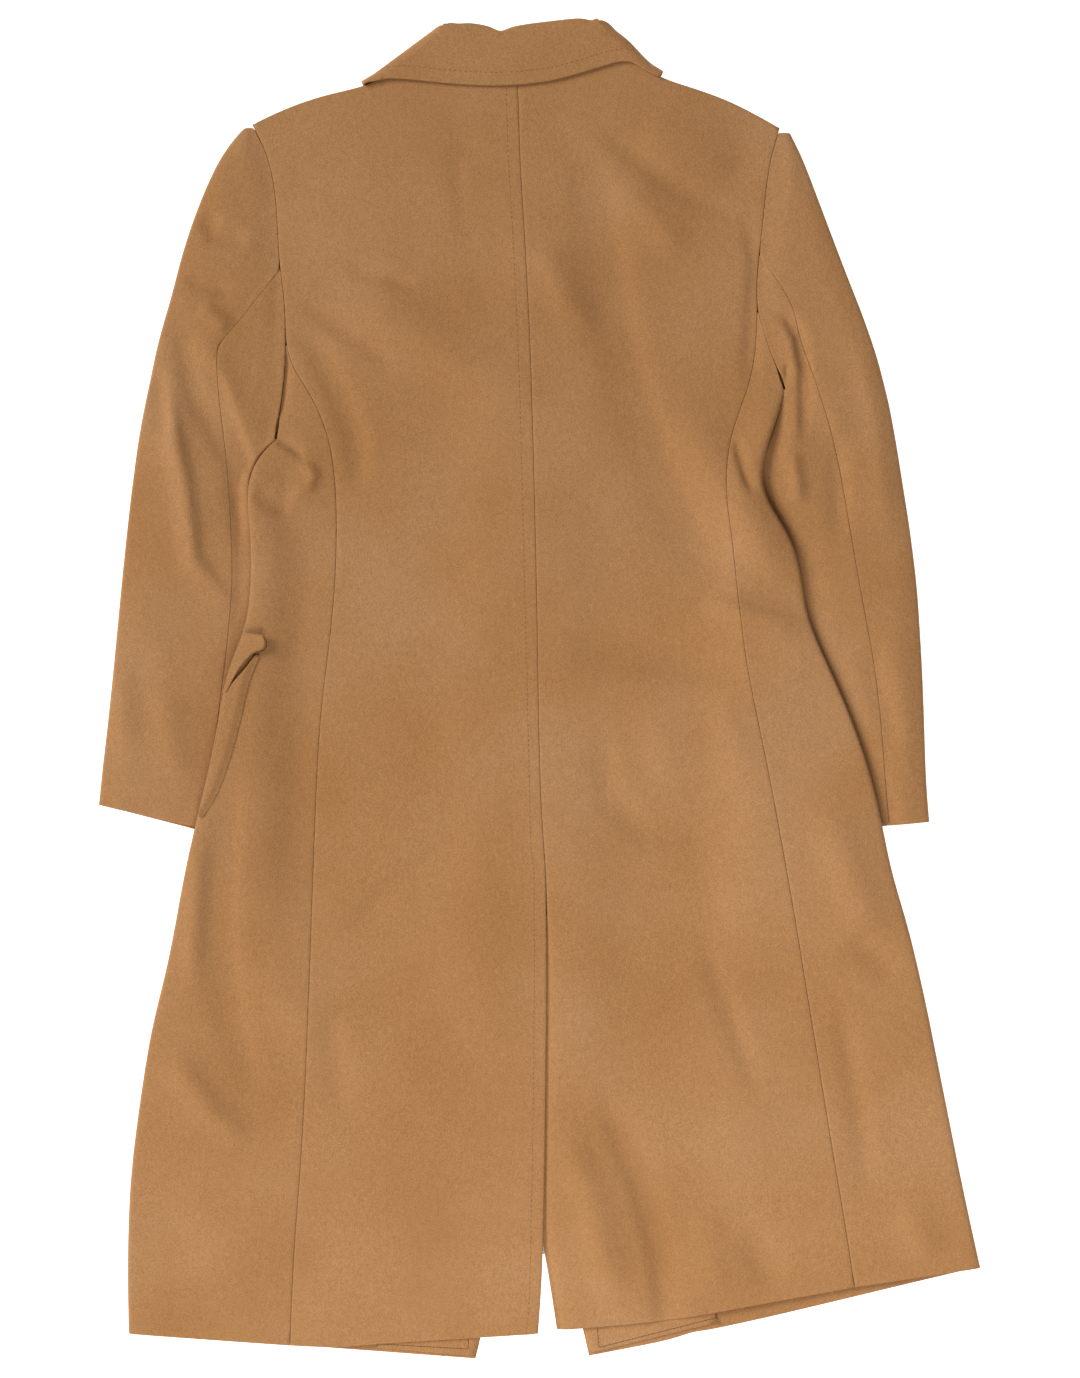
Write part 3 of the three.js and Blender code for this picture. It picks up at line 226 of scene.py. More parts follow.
# On the side that lies underneath, the cloth can only rise from the floor.
UNDER_FOLDS = [
    {"at": [(-190, 300), (-140, 250), (-70, 215)], "widths": (14, 18), "height": 0.8},
    {"at": [(-205, 190), (-150, 175), (-90, 190)], "widths": (9, 12), "height": 0.9},
    {"at": [(-200, 90), (-130, 60), (-70, 66)], "widths": (12, 14), "height": 0.8},
    {"at": [(-250, -120), (-225, -230), (-230, -330)], "widths": (12, 16), "height": 0.9},
    {"at": [(-120, -200), (-140, -330), (-132, -450)], "widths": (14, 18), "height": 0.8},
    {"at": [(160, 290), (110, 235), (50, 205)], "widths": (14, 16), "height": 0.8},
    {"at": [(170, 200), (120, 170), (70, 176)], "widths": (9, 11), "height": 0.9},
    {"at": [(190, 60), (130, 36), (70, 40)], "widths": (12, 14), "height": 0.8},
    {"at": [(250, -110), (236, -230), (262, -350)], "widths": (12, 16), "height": 0.9},
    {"at": [(120, -180), (150, -310), (170, -430)], "widths": (15, 18), "height": 0.8},
    {"at": [(-300, 250), (-286, 150), (-292, 60)], "widths": (9, 12), "height": 0.9},
    {"at": [(-330, 60), (-322, -40)], "widths": (10, 12), "height": 0.7},
    {"at": [(262, 240), (252, 150), (264, 60)], "widths": (9, 12), "height": 0.9},
    {"at": [(292, 30), (300, -60)], "widths": (10, 12), "height": 0.7},
]

# Every fold height is multiplied by the depth. The reach counts widths to either side, and a fold rises over
# the first part of its length and sinks over the last part, given as shares of it.
FOLD_DEPTH = 2.2
FOLD_REACH = 3.2
FOLD_START = (-0.04, 0.26)
FOLD_END = (1.04, 0.7)

# Waves of the ripple, in radians a metre. Each is crossed by the same wave, turned.
RIPPLE_HEIGHT = 0.16 * MM
RIPPLE_TURN = (0.7, -0.9)
RIPPLE_WAVES = [
    {"x": 19.0, "y": 7.0, "phase": 0.3},
    {"x": -11.0, "y": 23.0, "phase": 1.7},
    {"x": 37.0, "y": 29.0, "phase": 4.1},
    {"x": -43.0, "y": 17.0, "phase": 2.6},
    {"x": 61.0, "y": -51.0, "phase": 0.9},
]


def fold_relief(folds, x, y):
    """Height of the folds over the places x, y, in metres."""
    relief = np.zeros_like(x)
    for fold in folds:
        line = np.array(fold["at"], dtype=float) * MM
        left, right = (width * MM for width in fold["widths"])
        steps = np.linalg.norm(np.diff(line, axis=0), axis=1)
        total = steps.sum()
        reach = FOLD_REACH * max(left, right)
        low = line.min(axis=0) - reach
        high = line.max(axis=0) + reach
        near = np.where((x > low[0]) & (x < high[0]) & (y > low[1]) & (y < high[1]))[0]
        if not len(near):
            continue
        px = x[near]
        py = y[near]
        best = np.full(len(near), np.inf)
        side = np.zeros(len(near))
        place = np.zeros(len(near))
        done = 0.0
        for k, step in enumerate(steps):
            dx, dy = (line[k + 1] - line[k]) / step
            t = np.clip((px - line[k, 0]) * dx + (py - line[k, 1]) * dy, 0.0, step)
            ox = px - (line[k, 0] + dx * t)
            oy = py - (line[k, 1] + dy * t)
            gap = np.hypot(ox, oy)
            closer = gap < best
            best = np.where(closer, gap, best)
            side = np.where(closer, dx * oy - dy * ox, side)
            place = np.where(closer, done + t, place)
            done += step
        width = np.where(side > 0, left, right)
        ends = smooth(*FOLD_START, place / total) * smooth(*FOLD_END, place / total)
        relief[near] += FOLD_DEPTH * fold["height"] * MM * ends * np.exp(-((best / width) ** 2))
    return relief


def ripple(x, y):
    """Slight unevenness of cloth that has been worn and pressed."""
    total = np.zeros_like(x)
    for wave in RIPPLE_WAVES:
        turned_x = RIPPLE_TURN[0] * wave["y"] * x
        turned_y = RIPPLE_TURN[1] * wave["x"] * y
        turned = np.sin(turned_x + turned_y + 2 * wave["phase"])
        total += np.sin(wave["x"] * x + wave["y"] * y + wave["phase"]) * turned
    return RIPPLE_HEIGHT * total


def fine_copy(node, name, levels, softness=CLOTH_SOFTNESS):
    """A copy of a solid, with its faces made fine and its form rounded."""
    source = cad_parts[node]
    piece = bpy.data.objects.new(name, source.data.copy())
    bpy.context.scene.collection.objects.link(piece)
    piece.data.materials.clear()
    make_active(piece)
    bpy.ops.object.mode_set(mode="EDIT")
    bpy.ops.mesh.select_all(action="SELECT")
    bpy.ops.mesh.remove_doubles(threshold=SAME_PLACE)
    bpy.ops.mesh.tris_convert_to_quads(face_threshold=math.pi, shape_threshold=math.pi)
    bpy.ops.object.mode_set(mode="OBJECT")
    crease_rims(piece, softness)
    rounding = piece.modifiers.new("fine", "SUBSURF")
    rounding.levels = levels
    rounding.render_levels = levels
    rounding.boundary_smooth = "PRESERVE_CORNERS"
    bpy.ops.object.modifier_apply(modifier=rounding.name)
    bpy.ops.object.shade_smooth()
    return piece


def crease_rims(piece, softness):
    """Keep the cut edges crisp and the corners sharp, and draw both out a little. The rest gets rounded."""
    shape = bmesh.new()
    shape.from_mesh(piece.data)
    shape.normal_update()
    edge_layer = shape.edges.layers.float.new("crease_edge")
    corner_layer = shape.verts.layers.float.new("crease_vert")
    rims = set()
    for edge in shape.edges:
        if edge.calc_face_angle(0.0) > RIM_ANGLE:
            edge[edge_layer] = softness
            rims.add(edge)
    for corner in shape.verts:
        rim_edges = [edge for edge in corner.link_edges if edge in rims]
        ways = [(edge.other_vert(corner).co - corner.co).normalized() for edge in rim_edges]
        if len(ways) < 2:
            continue
        straightest = min(a.dot(b) for i, a in enumerate(ways) for b in ways[:i])
        if len(ways) > 2 or straightest > CORNER_COSINE:
            corner[corner_layer] = 1.0
        outward = Vector((corner.normal.x, corner.normal.y, 0.0))
        if outward.length > LEAST_OUTWARD:
            corner.co += outward.normalized() * SEAM_CLOSE
    shape.to_mesh(piece.data)
    shape.free()


# Ranges over which the moves set in: from the lower to the upper cloth, as heights from the middle between
# them, down from the neck, and out from under the body
UPPER_CLOTH = (-0.9 * MM, 1.1 * MM)
BELOW_NECK = (500 * MM, 470 * MM)
BESIDE_BODY = (1 * MM, 9 * MM)

# How far the upper cloth can sink, and how much less of it in the body where pieces lap below it
SLEEVE_ROOM = 4.6 * MM
BODY_ROOM = 3.2 * MM
LAPS = [
    {"left": (-72, -58), "right": (34, 20), "top": (440, 425), "less": 2.2},
    {"left": (-52, -38), "right": (30, 16), "top": (-100, -140), "less": 0.7},
]


def raise_body(piece):
    points = points_of(piece)
    x, y, z = points.T
    middle = body_floor(x, y) + LAY / 2
    upper = smooth(*UPPER_CLOTH, z - middle)
    below_neck = smooth(*BELOW_NECK, y)
    relief = softly_limited(fold_relief(BODY_FOLDS, x, y) + ripple(x, y), room_below(x, y))
    under_relief = fold_relief(UNDER_FOLDS, x, y) * (z < middle)
    points[:, 2] += upper * below_neck * relief + (1.0 - upper) * under_relief
    for side in (-1, 1):
        points[:, 0] += side * ARMPIT_CLOSE["body"] * at_armpit(side, x, y, BODY_EDGE)
    set_points(piece, points)


def raise_sleeve(piece, side):
    points = points_of(piece)
    x, y, z = points.T
    upper = smooth(*UPPER_CLOTH, z - LAY / 2)
    inner = np.where(y > ARMPIT[side], along(ARMHOLE[side], y), along(BODY_EDGE[side], y))
    clear = smooth(*BESIDE_BODY, side * (x - inner))
    relief = softly_limited(fold_relief(SLEEVE_FOLDS, x, y), SLEEVE_ROOM)
    points[:, 2] += upper * clear * (relief + ripple(x, y)) + (1.0 - upper) * fold_relief(UNDER_FOLDS, x, y)
    points[:, 0] -= side * ARMPIT_CLOSE["sleeve"] * at_armpit(side, x, y, SLEEVE_INNER)
    set_points(piece, points)


def at_armpit(side, x, y, edge):
    """One at the open edge just below the armpit, fading to zero away from it."""
    below = smooth(ARMPIT[side] + ARMPIT_START[0], ARMPIT[side] + ARMPIT_START[1], y)
    fading = smooth(ARMPIT[side] - ARMPIT_END[0], ARMPIT[side] - ARMPIT_END[1], y)
    return below * fading * np.exp(-(((x - along(edge[side], y)) / ARMPIT_REACH) ** 2))


def softly_limited(relief, room):
    """Troughs flatten out before they reach the cloth below."""
    return np.where(relief < 0.0, -room * np.tanh(-relief / room), relief)


def room_below(x, y):
    """How far the upper cloth of the body can sink: less where the fronts or the vent's edges lap."""
    room = np.full_like(x, BODY_ROOM)
    for lap in LAPS:
        left, right, top = (np.array(lap[way]) * MM for way in ("left", "right", "top"))
        room -= lap["less"] * MM * smooth(*left, x) * smooth(*right, x) * smooth(*top, y)
    return room


# Places where a piece is drawn a little to one side. Each row moves what is near it, and some rows only what
# lies above or below a height. No cloth lies higher than the first value here.
PILE_HEIGHT = 30
PULLS = {
    "collar": [
        {"at": (-79.5, 538.5), "by": (0, 5.0), "reach": 4.5},
        {"at": (-73.4, 543.4), "by": (0, 2.0), "reach": 5},
        {"at": (-32, 541), "by": (0, -2.0), "reach": 6},
        {"at": (48, 542.5), "by": (0, 5.6), "reach": 5},
        {"at": (43.6, 545.8), "by": (0, 0.5), "reach": 6},
        {"at": (56, 543), "by": (0.5, 1.4), "reach": 6},
        {"at": (71, 530), "by": (1.0, 1.7), "reach": 16},
        {"at": (-139, 491), "by": (-3.0, 3.4), "reach": 7},
        {"at": (96, 503), "by": (3.0, 0.8), "reach": 7},
    ],
    "sleeve_top_left": [
        {"at": (-217, 220), "by": (2.2, -4.2), "reach": 5, "below": 4},
        {"at": (-216.5, 213), "by": (2.0, -2.0), "reach": 4, "below": 4},
    ],
    "sleeve_top_right": [
        {"at": (200, 259), "by": (-1.6, -4.2), "reach": 5, "below": 4},
        {"at": (200.5, 252.5), "by": (-1.6, -2.2), "reach": 4, "below": 4},
    ],
    "sleeve_under_left": [
        {"at": (-213, 340.5), "by": (0, 2.6), "reach": 3, "above": 4},
        {"at": (-217.5, 208), "by": (1.6, 0), "reach": 5, "above": 4},
        {"at": (-217, 208), "by": (4.6, 9.0), "reach": 6, "below": 4},
    ],
    "sleeve_under_right": [
        {"at": (181, 352.6), "by": (0, 2.2), "reach": 3, "above": 4},
        {"at": (203, 249), "by": (-1.6, 0), "reach": 5, "above": 4},
        {"at": (202, 250), "by": (-5.0, 7.0), "reach": 6, "below": 4},
    ],
    "front_left": [
        {"at": (-208, 279.3), "by": (0, 2.6), "reach": 3, "above": 4},
        {"at": (-214.5, 208), "by": (-1.4, 0), "reach": 5, "above": 4},
        {"at": (-212.5, 216.5), "by": (-3.6, 1.0), "reach": 6, "below": 4},
    ],
    "front_right": [
        {"at": (179, 306.8), "by": (0, 2.2), "reach": 3, "above": 4},
        {"at": (198.5, 249), "by": (1.4, 0), "reach": 5, "above": 4},
        {"at": (195.5, 256.5), "by": (3.4, 1.0), "reach": 6, "below": 4},
    ],
    "pocket_end_left": [
        {"at": (-254.5, 7), "by": (-3.0, -11), "reach": 8},
        {"at": (-229, 38), "by": (3.4, -2.4), "reach": 7},
    ],
    "pocket_welt_left": [
        {"at": (-232.5, 24.5), "by": (1.8, 4.0), "reach": 6},
        {"at": (-274.5, -100), "by": (-2.6, -5.0), "reach": 5},
    ],
}


def pull(piece, rows):
    points = points_of(piece)
    for row in rows:
        away = np.hypot(points[:, 0] - row["at"][0] * MM, points[:, 1] - row["at"][1] * MM)
        share = np.exp(-((away / (row["reach"] * MM)) ** 2))
        share[points[:, 2] < row.get("above", 0) * MM] = 0.0
        share[points[:, 2] > row.get("below", PILE_HEIGHT) * MM] = 0.0
        points[:, 0] += share * row["by"][0] * MM
        points[:, 1] += share * row["by"][1] * MM
    set_points(piece, points)


# The welt is sewn down along its right edge, given as (y, x), and thins out there to lie almost level with
# the front.
WELT_EDGE = [
    (24, -230.5), (4, -237.6), (-18, -242.5), (-50, -250.5), (-80, -261), (-92, -267), (-100, -272.6),
]
WELT_SINK = 2.1 * MM
WELT_BEVEL = 7 * MM


def lower_welt(piece):
    points = points_of(piece)
    x, y, z = points.T
    edge = along(WELT_EDGE, y)
    near_edge = smooth(WELT_BEVEL, 0.0, edge - x)
    points[:, 2] = np.maximum(z - WELT_SINK * near_edge, z.min())
    set_points(piece, points)


# Sewing: short threads that lie on the cloth, one row for each line. Along the facings the threads are dark
# and set closer than their length, so they join into one unbroken dark line: partly the seam at the facing's
# edge and partly painted shade along that edge.
THREAD_LENGTH = 2.9 * MM
THREAD_RADIUS = 0.32 * MM
STITCH_STEP = 4.2 * MM
FACING_STEP = 2.7 * MM
TACK_STEP = 1.5 * MM
ABOVE_COAT = 100 * MM

# The back seam is given as (y, x), and the other lines as (x, y).
BACK_SEAM = [
    (493, -17.6), (440, -16), (390, -13.1), (339, -10.3), (240, -6.2), (73, -2.1), (-132, 2.9),
    (-148, 5.3), (-222, 5.7), (-333, 4.9), (-467, 2.5), (-509, 1.2), (-530, -1.2),
]
BACK_TOPSTITCH = 10.0
COLLAR_EDGE = [
    (-134, 497), (-113, 499.7), (-95, 497.8), (-77.7, 495.9), (-58, 494.6), (-38, 493.8), (-17.6, 494.5),
    (-4, 496), (12, 498.3), (34.4, 504.5), (52, 510), (66, 513), (78, 513),
]
COLLAR_TOPSTITCH = 10.5
# Each facing line is partly a seam and partly painted shade along the facing's edge.
FACING_SEAM_AND_SHADE_LINES = {
    "facing_left": [(-134, -537.6), (-58.6, -541.9), (-57.4, -500)],
    "facing_right": [(45.4, -500), (48.8, -540.6), (146, -515.9)],
}
POCKET_TACK = [(-226, 43), (-223.6, 40), (-223, 35.4), (-225.6, 31.4), (-229.6, 29.8)]


def one_thread(material):
    deselect_all()
    bpy.ops.mesh.primitive_uv_sphere_add(segments=6, ring_count=4, radius=1.0)
    thread = bpy.context.object
    thread.scale = (THREAD_LENGTH / 2, THREAD_RADIUS, THREAD_RADIUS)
    bpy.ops.object.transform_apply(location=False, rotation=False, scale=True)
    bpy.ops.object.shade_smooth()
    thread.data.materials.append(material)
    return thread


def sew(name, path, pieces, material, step=STITCH_STEP):
    """A row of threads along a bent path on the top of the given pieces."""
    pattern = one_thread(material)
    line = np.array(path, dtype=float) * MM
    lengths = np.linalg.norm(np.diff(line, axis=0), axis=1)
    marks = np.concatenate([[0.0], np.cumsum(lengths)])
    threads = []
    for at in np.arange(step / 2, marks[-1], step):
        x = float(np.interp(at, marks, line[:, 0]))
        y = float(np.interp(at, marks, line[:, 1]))
        part = min(int(np.searchsorted(marks, at)) - 1, len(lengths) - 1)
        way = line[part + 1] - line[part]
        height = top_of(pieces, x, y)
        if height is None:
            continue
        thread = bpy.data.objects.new(name, pattern.data.copy())
        bpy.context.scene.collection.objects.link(thread)
        thread.location = (x, y, height)
        thread.rotation_euler = (0.0, 0.0, math.atan2(way[1], way[0]))
        threads.append(thread)
    bpy.data.objects.remove(pattern)
    deselect_all()
    for thread in threads:
        thread.select_set(True)
    bpy.context.view_layer.objects.active = threads[0]
    bpy.ops.object.join()
    bpy.ops.object.transform_apply(location=True, rotation=True, scale=True)
    seam = bpy.context.object
    seam.name = name
    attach(seam, "root")


def top_of(pieces, x, y):
    """Height of the highest of the pieces at x, y, or None where none of them lies."""
    heights = []
    for piece in pieces:
        hit, place, normal, face = piece.ray_cast((x, y, ABOVE_COAT), (0.0, 0.0, -1.0))
        if hit:
            heights.append(place.z)
    return max(heights) if heights else None


# Materials
CAMEL = (0.390, 0.193, 0.074, 1.0)
CAMEL_DARK = (0.364, 0.1735, 0.061, 1.0)
CAMEL_LIGHT = (0.413, 0.2135, 0.090, 1.0)
WOOL_SURFACE = {
    "Roughness": 0.92,
    "Sheen Weight": 0.22,
    "Sheen Roughness": 0.45,
    "Sheen Tint": (1.0, 0.86, 0.66, 1.0),
    "Specular IOR Level": 0.18,
}
HORN = (0.072, 0.033, 0.016, 1.0)
THREAD = (0.30, 0.145, 0.052, 1.0)
# Dark thread: the real colour of the pocket tack, and also painted shade in the lines along the facings.
DARK_THREAD_AND_PAINTED_SHADE = (0.13, 0.062, 0.03, 1.0)

# The size of a noise counts its patches in a metre. Nap and fibres multiply the shade of the wool.
BLOTCH = {"size": 7.0, "detail": 3.0}
NAP = {"size": 260.0, "detail": 4.0, "stretch": (1.0, 0.7, 1.0), "share": 0.75}
FIBRE = {"size": 1050.0, "detail": 3.0, "stretch": (1.0, 0.75, 1.0), "share": 0.8}
FLECK = {"size": 1700.0, "detail": 1.0}
BLOTCH_SHADES = [(0.34, CAMEL_DARK), (0.5, CAMEL), (0.66, CAMEL_LIGHT)]
NAP_SHADES = [(0.28, (0.93, 0.92, 0.91, 1)), (0.72, (1.06, 1.06, 1.07, 1))]
FIBRE_SHADES = [(0.3, (0.78, 0.76, 0.74, 1)), (0.7, (1.2, 1.2, 1.2, 1))]
FIBRE_RELIEF = 0.6
FLECK_RELIEF = 0.35
RELIEF_STRENGTH = 0.55
RELIEF_HEIGHT = 0.6 * MM
SPECK_DETAIL = 3.0
SPECK_RANGE = (0.3, 0.7)


def new_material(name):
    material = bpy.data.materials.new(name)
    material.use_nodes = True
    tree = material.node_tree
    return material, tree, tree.nodes["Principled BSDF"]


def node_of(tree, kind, place, **values):
    node = tree.nodes.new(kind)
    node.location = place
    for key, value in values.items():
        setattr(node, key, value)
    return node


def noise(tree, source, place, look):
    mapping = node_of(tree, "ShaderNodeMapping", (place[0] - 180, place[1]))
    mapping.inputs["Scale"].default_value = look.get("stretch", (1, 1, 1))
    tree.links.new(source, mapping.inputs["Vector"])
    made = node_of(tree, "ShaderNodeTexNoise", place)
    made.inputs["Scale"].default_value = look["size"]
    made.inputs["Detail"].default_value = look["detail"]
    tree.links.new(mapping.outputs["Vector"], made.inputs["Vector"])
    return made.outputs["Fac"]


def ramp(tree, source, place, stops):
    made = node_of(tree, "ShaderNodeValToRGB", place)
    made.color_ramp.elements[0].position = stops[0][0]
    made.color_ramp.elements[0].color = stops[0][1]
    made.color_ramp.elements[1].position = stops[-1][0]
    made.color_ramp.elements[1].color = stops[-1][1]
    for at, color in stops[1:-1]:
        middle = made.color_ramp.elements.new(at)
        middle.color = color
    tree.links.new(source, made.inputs["Fac"])
    return made.outputs["Color"]


def multiplied(tree, share, first, second, place):
    made = node_of(tree, "ShaderNodeMix", place, data_type="RGBA", blend_type="MULTIPLY")
    made.inputs["Factor"].default_value = share
    tree.links.new(first, made.inputs["A"])
    tree.links.new(second, made.inputs["B"])
    return made.outputs["Result"]


def camel_wool():
    """Brushed coating: a napped face with fibres that lie down the coat, in slightly mixed shades."""
    material, tree, shader = new_material("camel_wool")
    for key, value in WOOL_SURFACE.items():
        shader.inputs[key].default_value = value
    coords = node_of(tree, "ShaderNodeTexCoord", (-1400, 0)).outputs["Object"]
    blotch = noise(tree, coords, (-1000, 400), BLOTCH)
    nap = noise(tree, coords, (-1000, 150), NAP)
    fibre = noise(tree, coords, (-1000, -100), FIBRE)
    fleck = noise(tree, coords, (-1000, -350), FLECK)
    shade = ramp(tree, blotch, (-760, 400), BLOTCH_SHADES)
    napped = ramp(tree, nap, (-760, 150), NAP_SHADES)
    fibres = ramp(tree, fibre, (-760, -100), FIBRE_SHADES)
    color = multiplied(tree, NAP["share"], shade, napped, (-300, 300))
    color = multiplied(tree, FIBRE["share"], color, fibres, (-120, 200))
    tree.links.new(color, shader.inputs["Base Color"])
    strands = node_of(tree, "ShaderNodeMath", (-480, -100), operation="MULTIPLY_ADD")
    strands.inputs[1].default_value = FIBRE_RELIEF
    tree.links.new(fibre, strands.inputs[0])
    tree.links.new(nap, strands.inputs[2])
    whole = node_of(tree, "ShaderNodeMath", (-300, -150), operation="MULTIPLY_ADD")
    whole.inputs[1].default_value = FLECK_RELIEF
    tree.links.new(fleck, whole.inputs[0])
    tree.links.new(strands.outputs[0], whole.inputs[2])
    bump = node_of(tree, "ShaderNodeBump", (-120, -150))
    bump.inputs["Strength"].default_value = RELIEF_STRENGTH
    bump.inputs["Distance"].default_value = RELIEF_HEIGHT
    tree.links.new(whole.outputs[0], bump.inputs["Height"])
    tree.links.new(bump.outputs["Normal"], shader.inputs["Normal"])
    return material


def plain_material(name, color, roughness, grain, grain_size):
    """One colour, with specks that are darker and lighter by the share that grain gives."""
    material, tree, shader = new_material(name)
    shader.inputs["Roughness"].default_value = roughness
    coords = node_of(tree, "ShaderNodeTexCoord", (-900, 0)).outputs["Object"]
    speck = noise(tree, coords, (-600, 0), {"size": grain_size, "detail": SPECK_DETAIL})
    dark = tuple(c * (1.0 - grain) for c in color[:3]) + (1.0,)
    light = tuple(min(1.0, c * (1.0 + grain)) for c in color[:3]) + (1.0,)
    shade = ramp(tree, speck, (-350, 0), list(zip(SPECK_RANGE, (dark, light))))
    tree.links.new(shade, shader.inputs["Base Color"])
    return material


def dress(piece, material, node):
    piece.data.materials.clear()
    piece.data.materials.append(material)
    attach(piece, "root")
    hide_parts(node)


# The floor, the lights and the camera
UNDER_COAT = {"middle": (-0.010, 0.020), "half": (0.245, 0.485)}
PAPER = (0.8, 0.8, 0.8, 1.0)
PAPER_ROUGHNESS = 0.9
PAPER_GLOW = (1.0, 1.0, 1.0, 1.0)
FLOOR_SIZE = 8.0
FLOOR_DROP = 0.4 * MM

# The lamps stand at places in metres and shine on the middle of the coat.
KEY = {"place": (-2.3, 1.1, 1.7), "energy": 2.6, "angle": math.radians(28)}
FOOT = {"place": (0.1, -2.1, 1.7), "energy": 45.0, "size": 1.5}
ROOM_LIGHT = {"color": (1.0, 0.99, 0.98, 1.0), "strength": 0.25}
LENS = 85.0
SENSOR = 36.0
CAMERA_ASIDE = 0.4 * MM


def white_paper():
    """Paper that glows, apart from a patch under the body, where the gaps between layers stay dark."""
    material, tree, shader = new_material("white_paper")
    shader.inputs["Base Color"].default_value = PAPER
    shader.inputs["Roughness"].default_value = PAPER_ROUGHNESS
    shader.inputs["Emission Color"].default_value = PAPER_GLOW
    coords = node_of(tree, "ShaderNodeTexCoord", (-1300, 0)).outputs["Object"]
    scaled = node_of(tree, "ShaderNodeMapping", (-1100, 0))
    middle, half = UNDER_COAT["middle"], UNDER_COAT["half"]
    scaled.inputs["Location"].default_value = (-middle[0] / half[0], -middle[1] / half[1], 0.0)
    scaled.inputs["Scale"].default_value = (1 / half[0], 1 / half[1], 0.0)
    tree.links.new(coords, scaled.inputs["Vector"])
    power = scaled.outputs["Vector"]
    for turn in range(2):
        squared = node_of(tree, "ShaderNodeVectorMath", (-900 + 180 * turn, 0), operation="MULTIPLY")
        tree.links.new(power, squared.inputs[0])
        tree.links.new(power, squared.inputs[1])
        power = squared.outputs["Vector"]
    reach = node_of(tree, "ShaderNodeVectorMath", (-500, 0), operation="DOT_PRODUCT")
    reach.inputs[1].default_value = (1.0, 1.0, 0.0)
    tree.links.new(power, reach.inputs[0])
    glow = node_of(tree, "ShaderNodeMath", (-300, 0), operation="GREATER_THAN")
    glow.inputs[1].default_value = 1.0
    tree.links.new(reach.outputs["Value"], glow.inputs[0])
    tree.links.new(glow.outputs[0], shader.inputs["Emission Strength"])
    return material


def add_lamp(kind, name, look):
    bpy.ops.object.light_add(type=kind, location=look["place"])
    lamp = bpy.context.object
    lamp.name = name
    lamp.data.energy = look["energy"]
    lamp.rotation_euler = (-Vector(look["place"])).to_track_quat("-Z", "Y").to_euler()
    return lamp


def set_stage():
    deselect_all()
    bpy.ops.mesh.primitive_plane_add(size=FLOOR_SIZE, location=(0, 0, -FLOOR_DROP))
    floor = bpy.context.object
    floor.name = "white_floor"
    floor.data.materials.append(white_paper())

    key = add_lamp("SUN", "key", KEY)
    key.data.angle = KEY["angle"]
    foot = add_lamp("AREA", "foot", FOOT)
    foot.data.shape = "DISK"
    foot.data.size = FOOT["size"]

    world = bpy.data.worlds.new("studio")
    bpy.context.scene.world = world
    world.use_nodes = True
    background = world.node_tree.nodes["Background"]
    background.inputs["Color"].default_value = ROOM_LIGHT["color"]
    background.inputs["Strength"].default_value = ROOM_LIGHT["strength"]

    height = PHOTO_HEIGHT * MM_PER_PIXEL * MM
    camera_data = bpy.data.cameras.new("camera")
    camera_data.lens = LENS
    camera_data.sensor_width = SENSOR
    camera = bpy.data.objects.new("camera", camera_data)
    bpy.context.scene.collection.objects.link(camera)
    camera.location = (CAMERA_ASIDE, 0.0, LAY + height * LENS / SENSOR)
    bpy.context.scene.camera = camera
    bpy.context.scene.view_settings.view_transform = "Standard"
    bpy.context.scene.view_settings.look = "None"


set_stage()
wool = camel_wool()
horn = plain_material("horn", HORN, roughness=0.35, grain=0.35, grain_size=120.0)

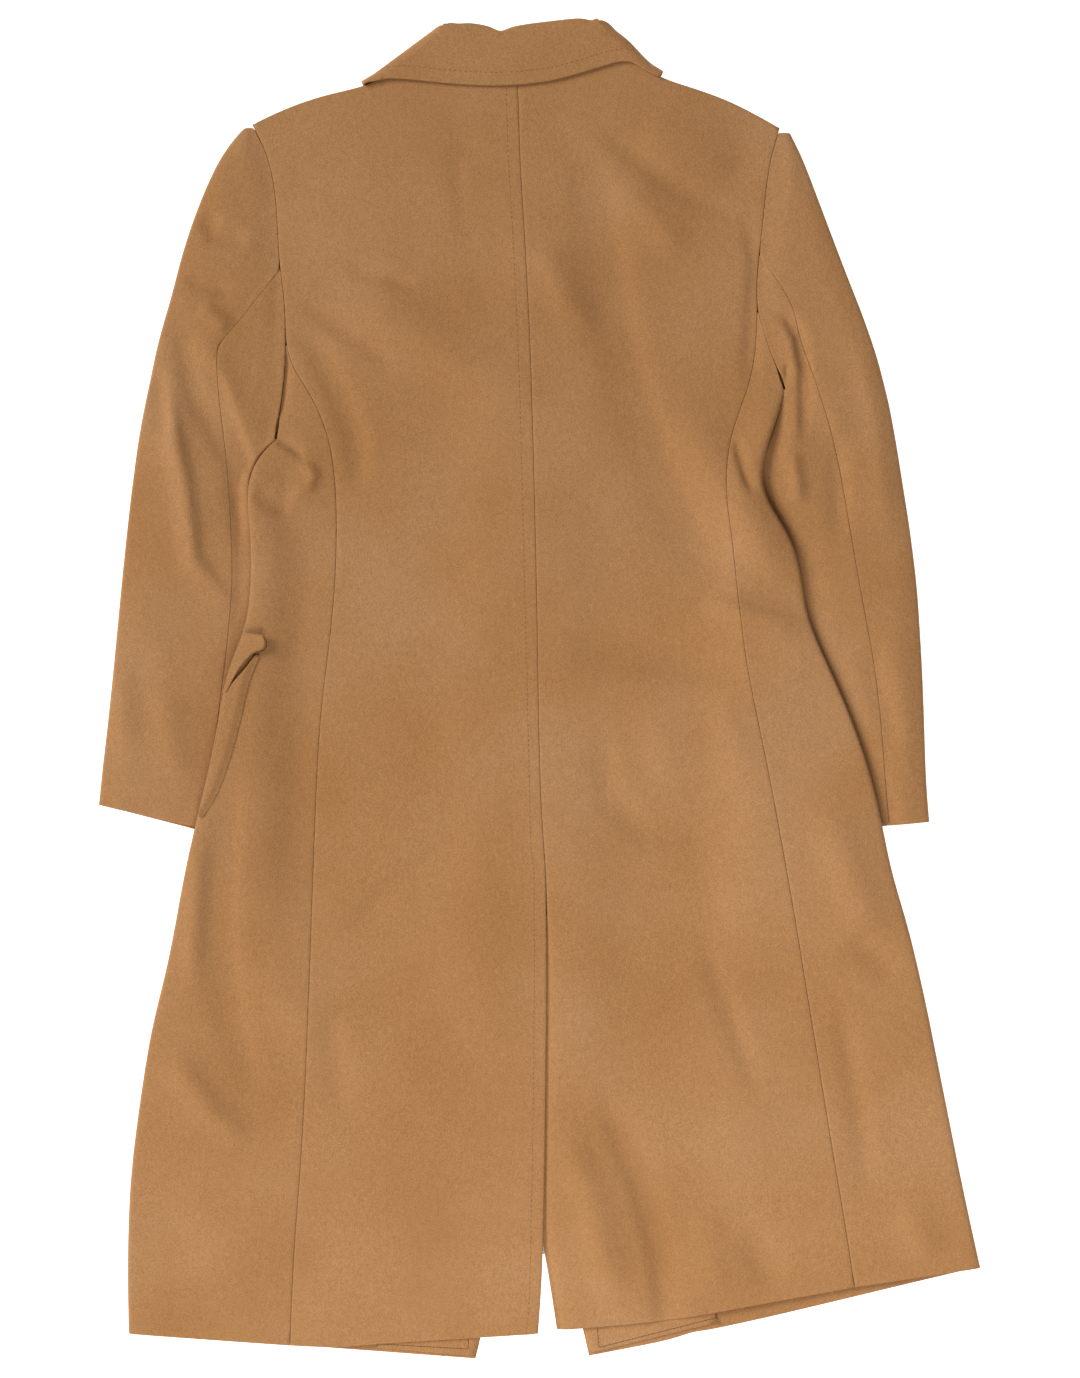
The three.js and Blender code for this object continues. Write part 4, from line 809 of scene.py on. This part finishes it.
# The pieces of cloth, with their flat size in metres and their flat area in square metres
PIECES = [
    {"node": "back_left", "flat": (0.245, 1.052), "area": 0.196},
    {"node": "back_right", "flat": (0.288, 1.046), "area": 0.205},
    {"node": "front_left", "flat": (0.475, 1.060), "area": 0.348},
    {"node": "front_right", "flat": (0.470, 1.066), "area": 0.326},
    {"node": "sleeve_top_left", "flat": (0.225, 0.590), "area": 0.094},
    {"node": "sleeve_under_left", "flat": (0.105, 0.480), "area": 0.0243},
    {"node": "sleeve_top_right", "flat": (0.205, 0.585), "area": 0.0766},
    {"node": "sleeve_under_right", "flat": (0.155, 0.485), "area": 0.0471},
    {"node": "collar", "flat": (0.480, 0.100), "area": 0.0383},
    {"node": "pocket_welt_left", "flat": (0.020, 0.132), "area": 0.0016},
    {"node": "pocket_end_left", "flat": (0.018, 0.050), "area": 0.00055},
    {"node": "facing_left", "flat": (0.084, 0.071), "area": 0.0057},
    {"node": "facing_right", "flat": (0.112, 0.072), "area": 0.0077},
]

cloth = {}
for row in PIECES:
    node = row["node"]
    small = node.startswith(("pocket", "facing"))
    piece = fine_copy(node, f"{node}_cloth", SMALL_LEVELS if small else PANEL_LEVELS)
    cloth[node] = piece
    if node.startswith(("back", "front", "pocket")):
        raise_body(piece)
    if node == "pocket_welt_left":
        lower_welt(piece)
    pull(piece, PULLS.get(node, []))
    if node.startswith("sleeve"):
        raise_sleeve(piece, -1 if node.endswith("left") else 1)
    dress(piece, wool, node)

for number in (1, 2, 3):
    node = f"button_{number}"
    piece = fine_copy(node, f"{node}_horn", BUTTON_LEVELS, BUTTON_SOFTNESS)
    dress(piece, horn, node)

thread_wool = plain_material("thread", THREAD, roughness=0.8, grain=0.15, grain_size=900.0)
dark_thread_and_painted_shade = plain_material("dark_thread_and_painted_shade", DARK_THREAD_AND_PAINTED_SHADE, roughness=0.8, grain=0.2, grain_size=900.0)
back_line = [(x - BACK_TOPSTITCH, y) for y, x in BACK_SEAM]
sew("back_topstitch", back_line, [cloth["back_left"]], thread_wool)
collar_line = [(x, y + COLLAR_TOPSTITCH) for x, y in COLLAR_EDGE]
sew("collar_topstitch", collar_line, [cloth["collar"]], thread_wool)
# The facing lines: dark threads joined into one line, a seam with painted shade along the facing's edge.
for node, path in FACING_SEAM_AND_SHADE_LINES.items():
    sew(f"{node}_seam_and_painted_shade_line", path, [cloth[node]], dark_thread_and_painted_shade, FACING_STEP)
sew("pocket_tack", POCKET_TACK, [cloth["pocket_end_left"], cloth["front_left"]], dark_thread_and_painted_shade, TACK_STEP)
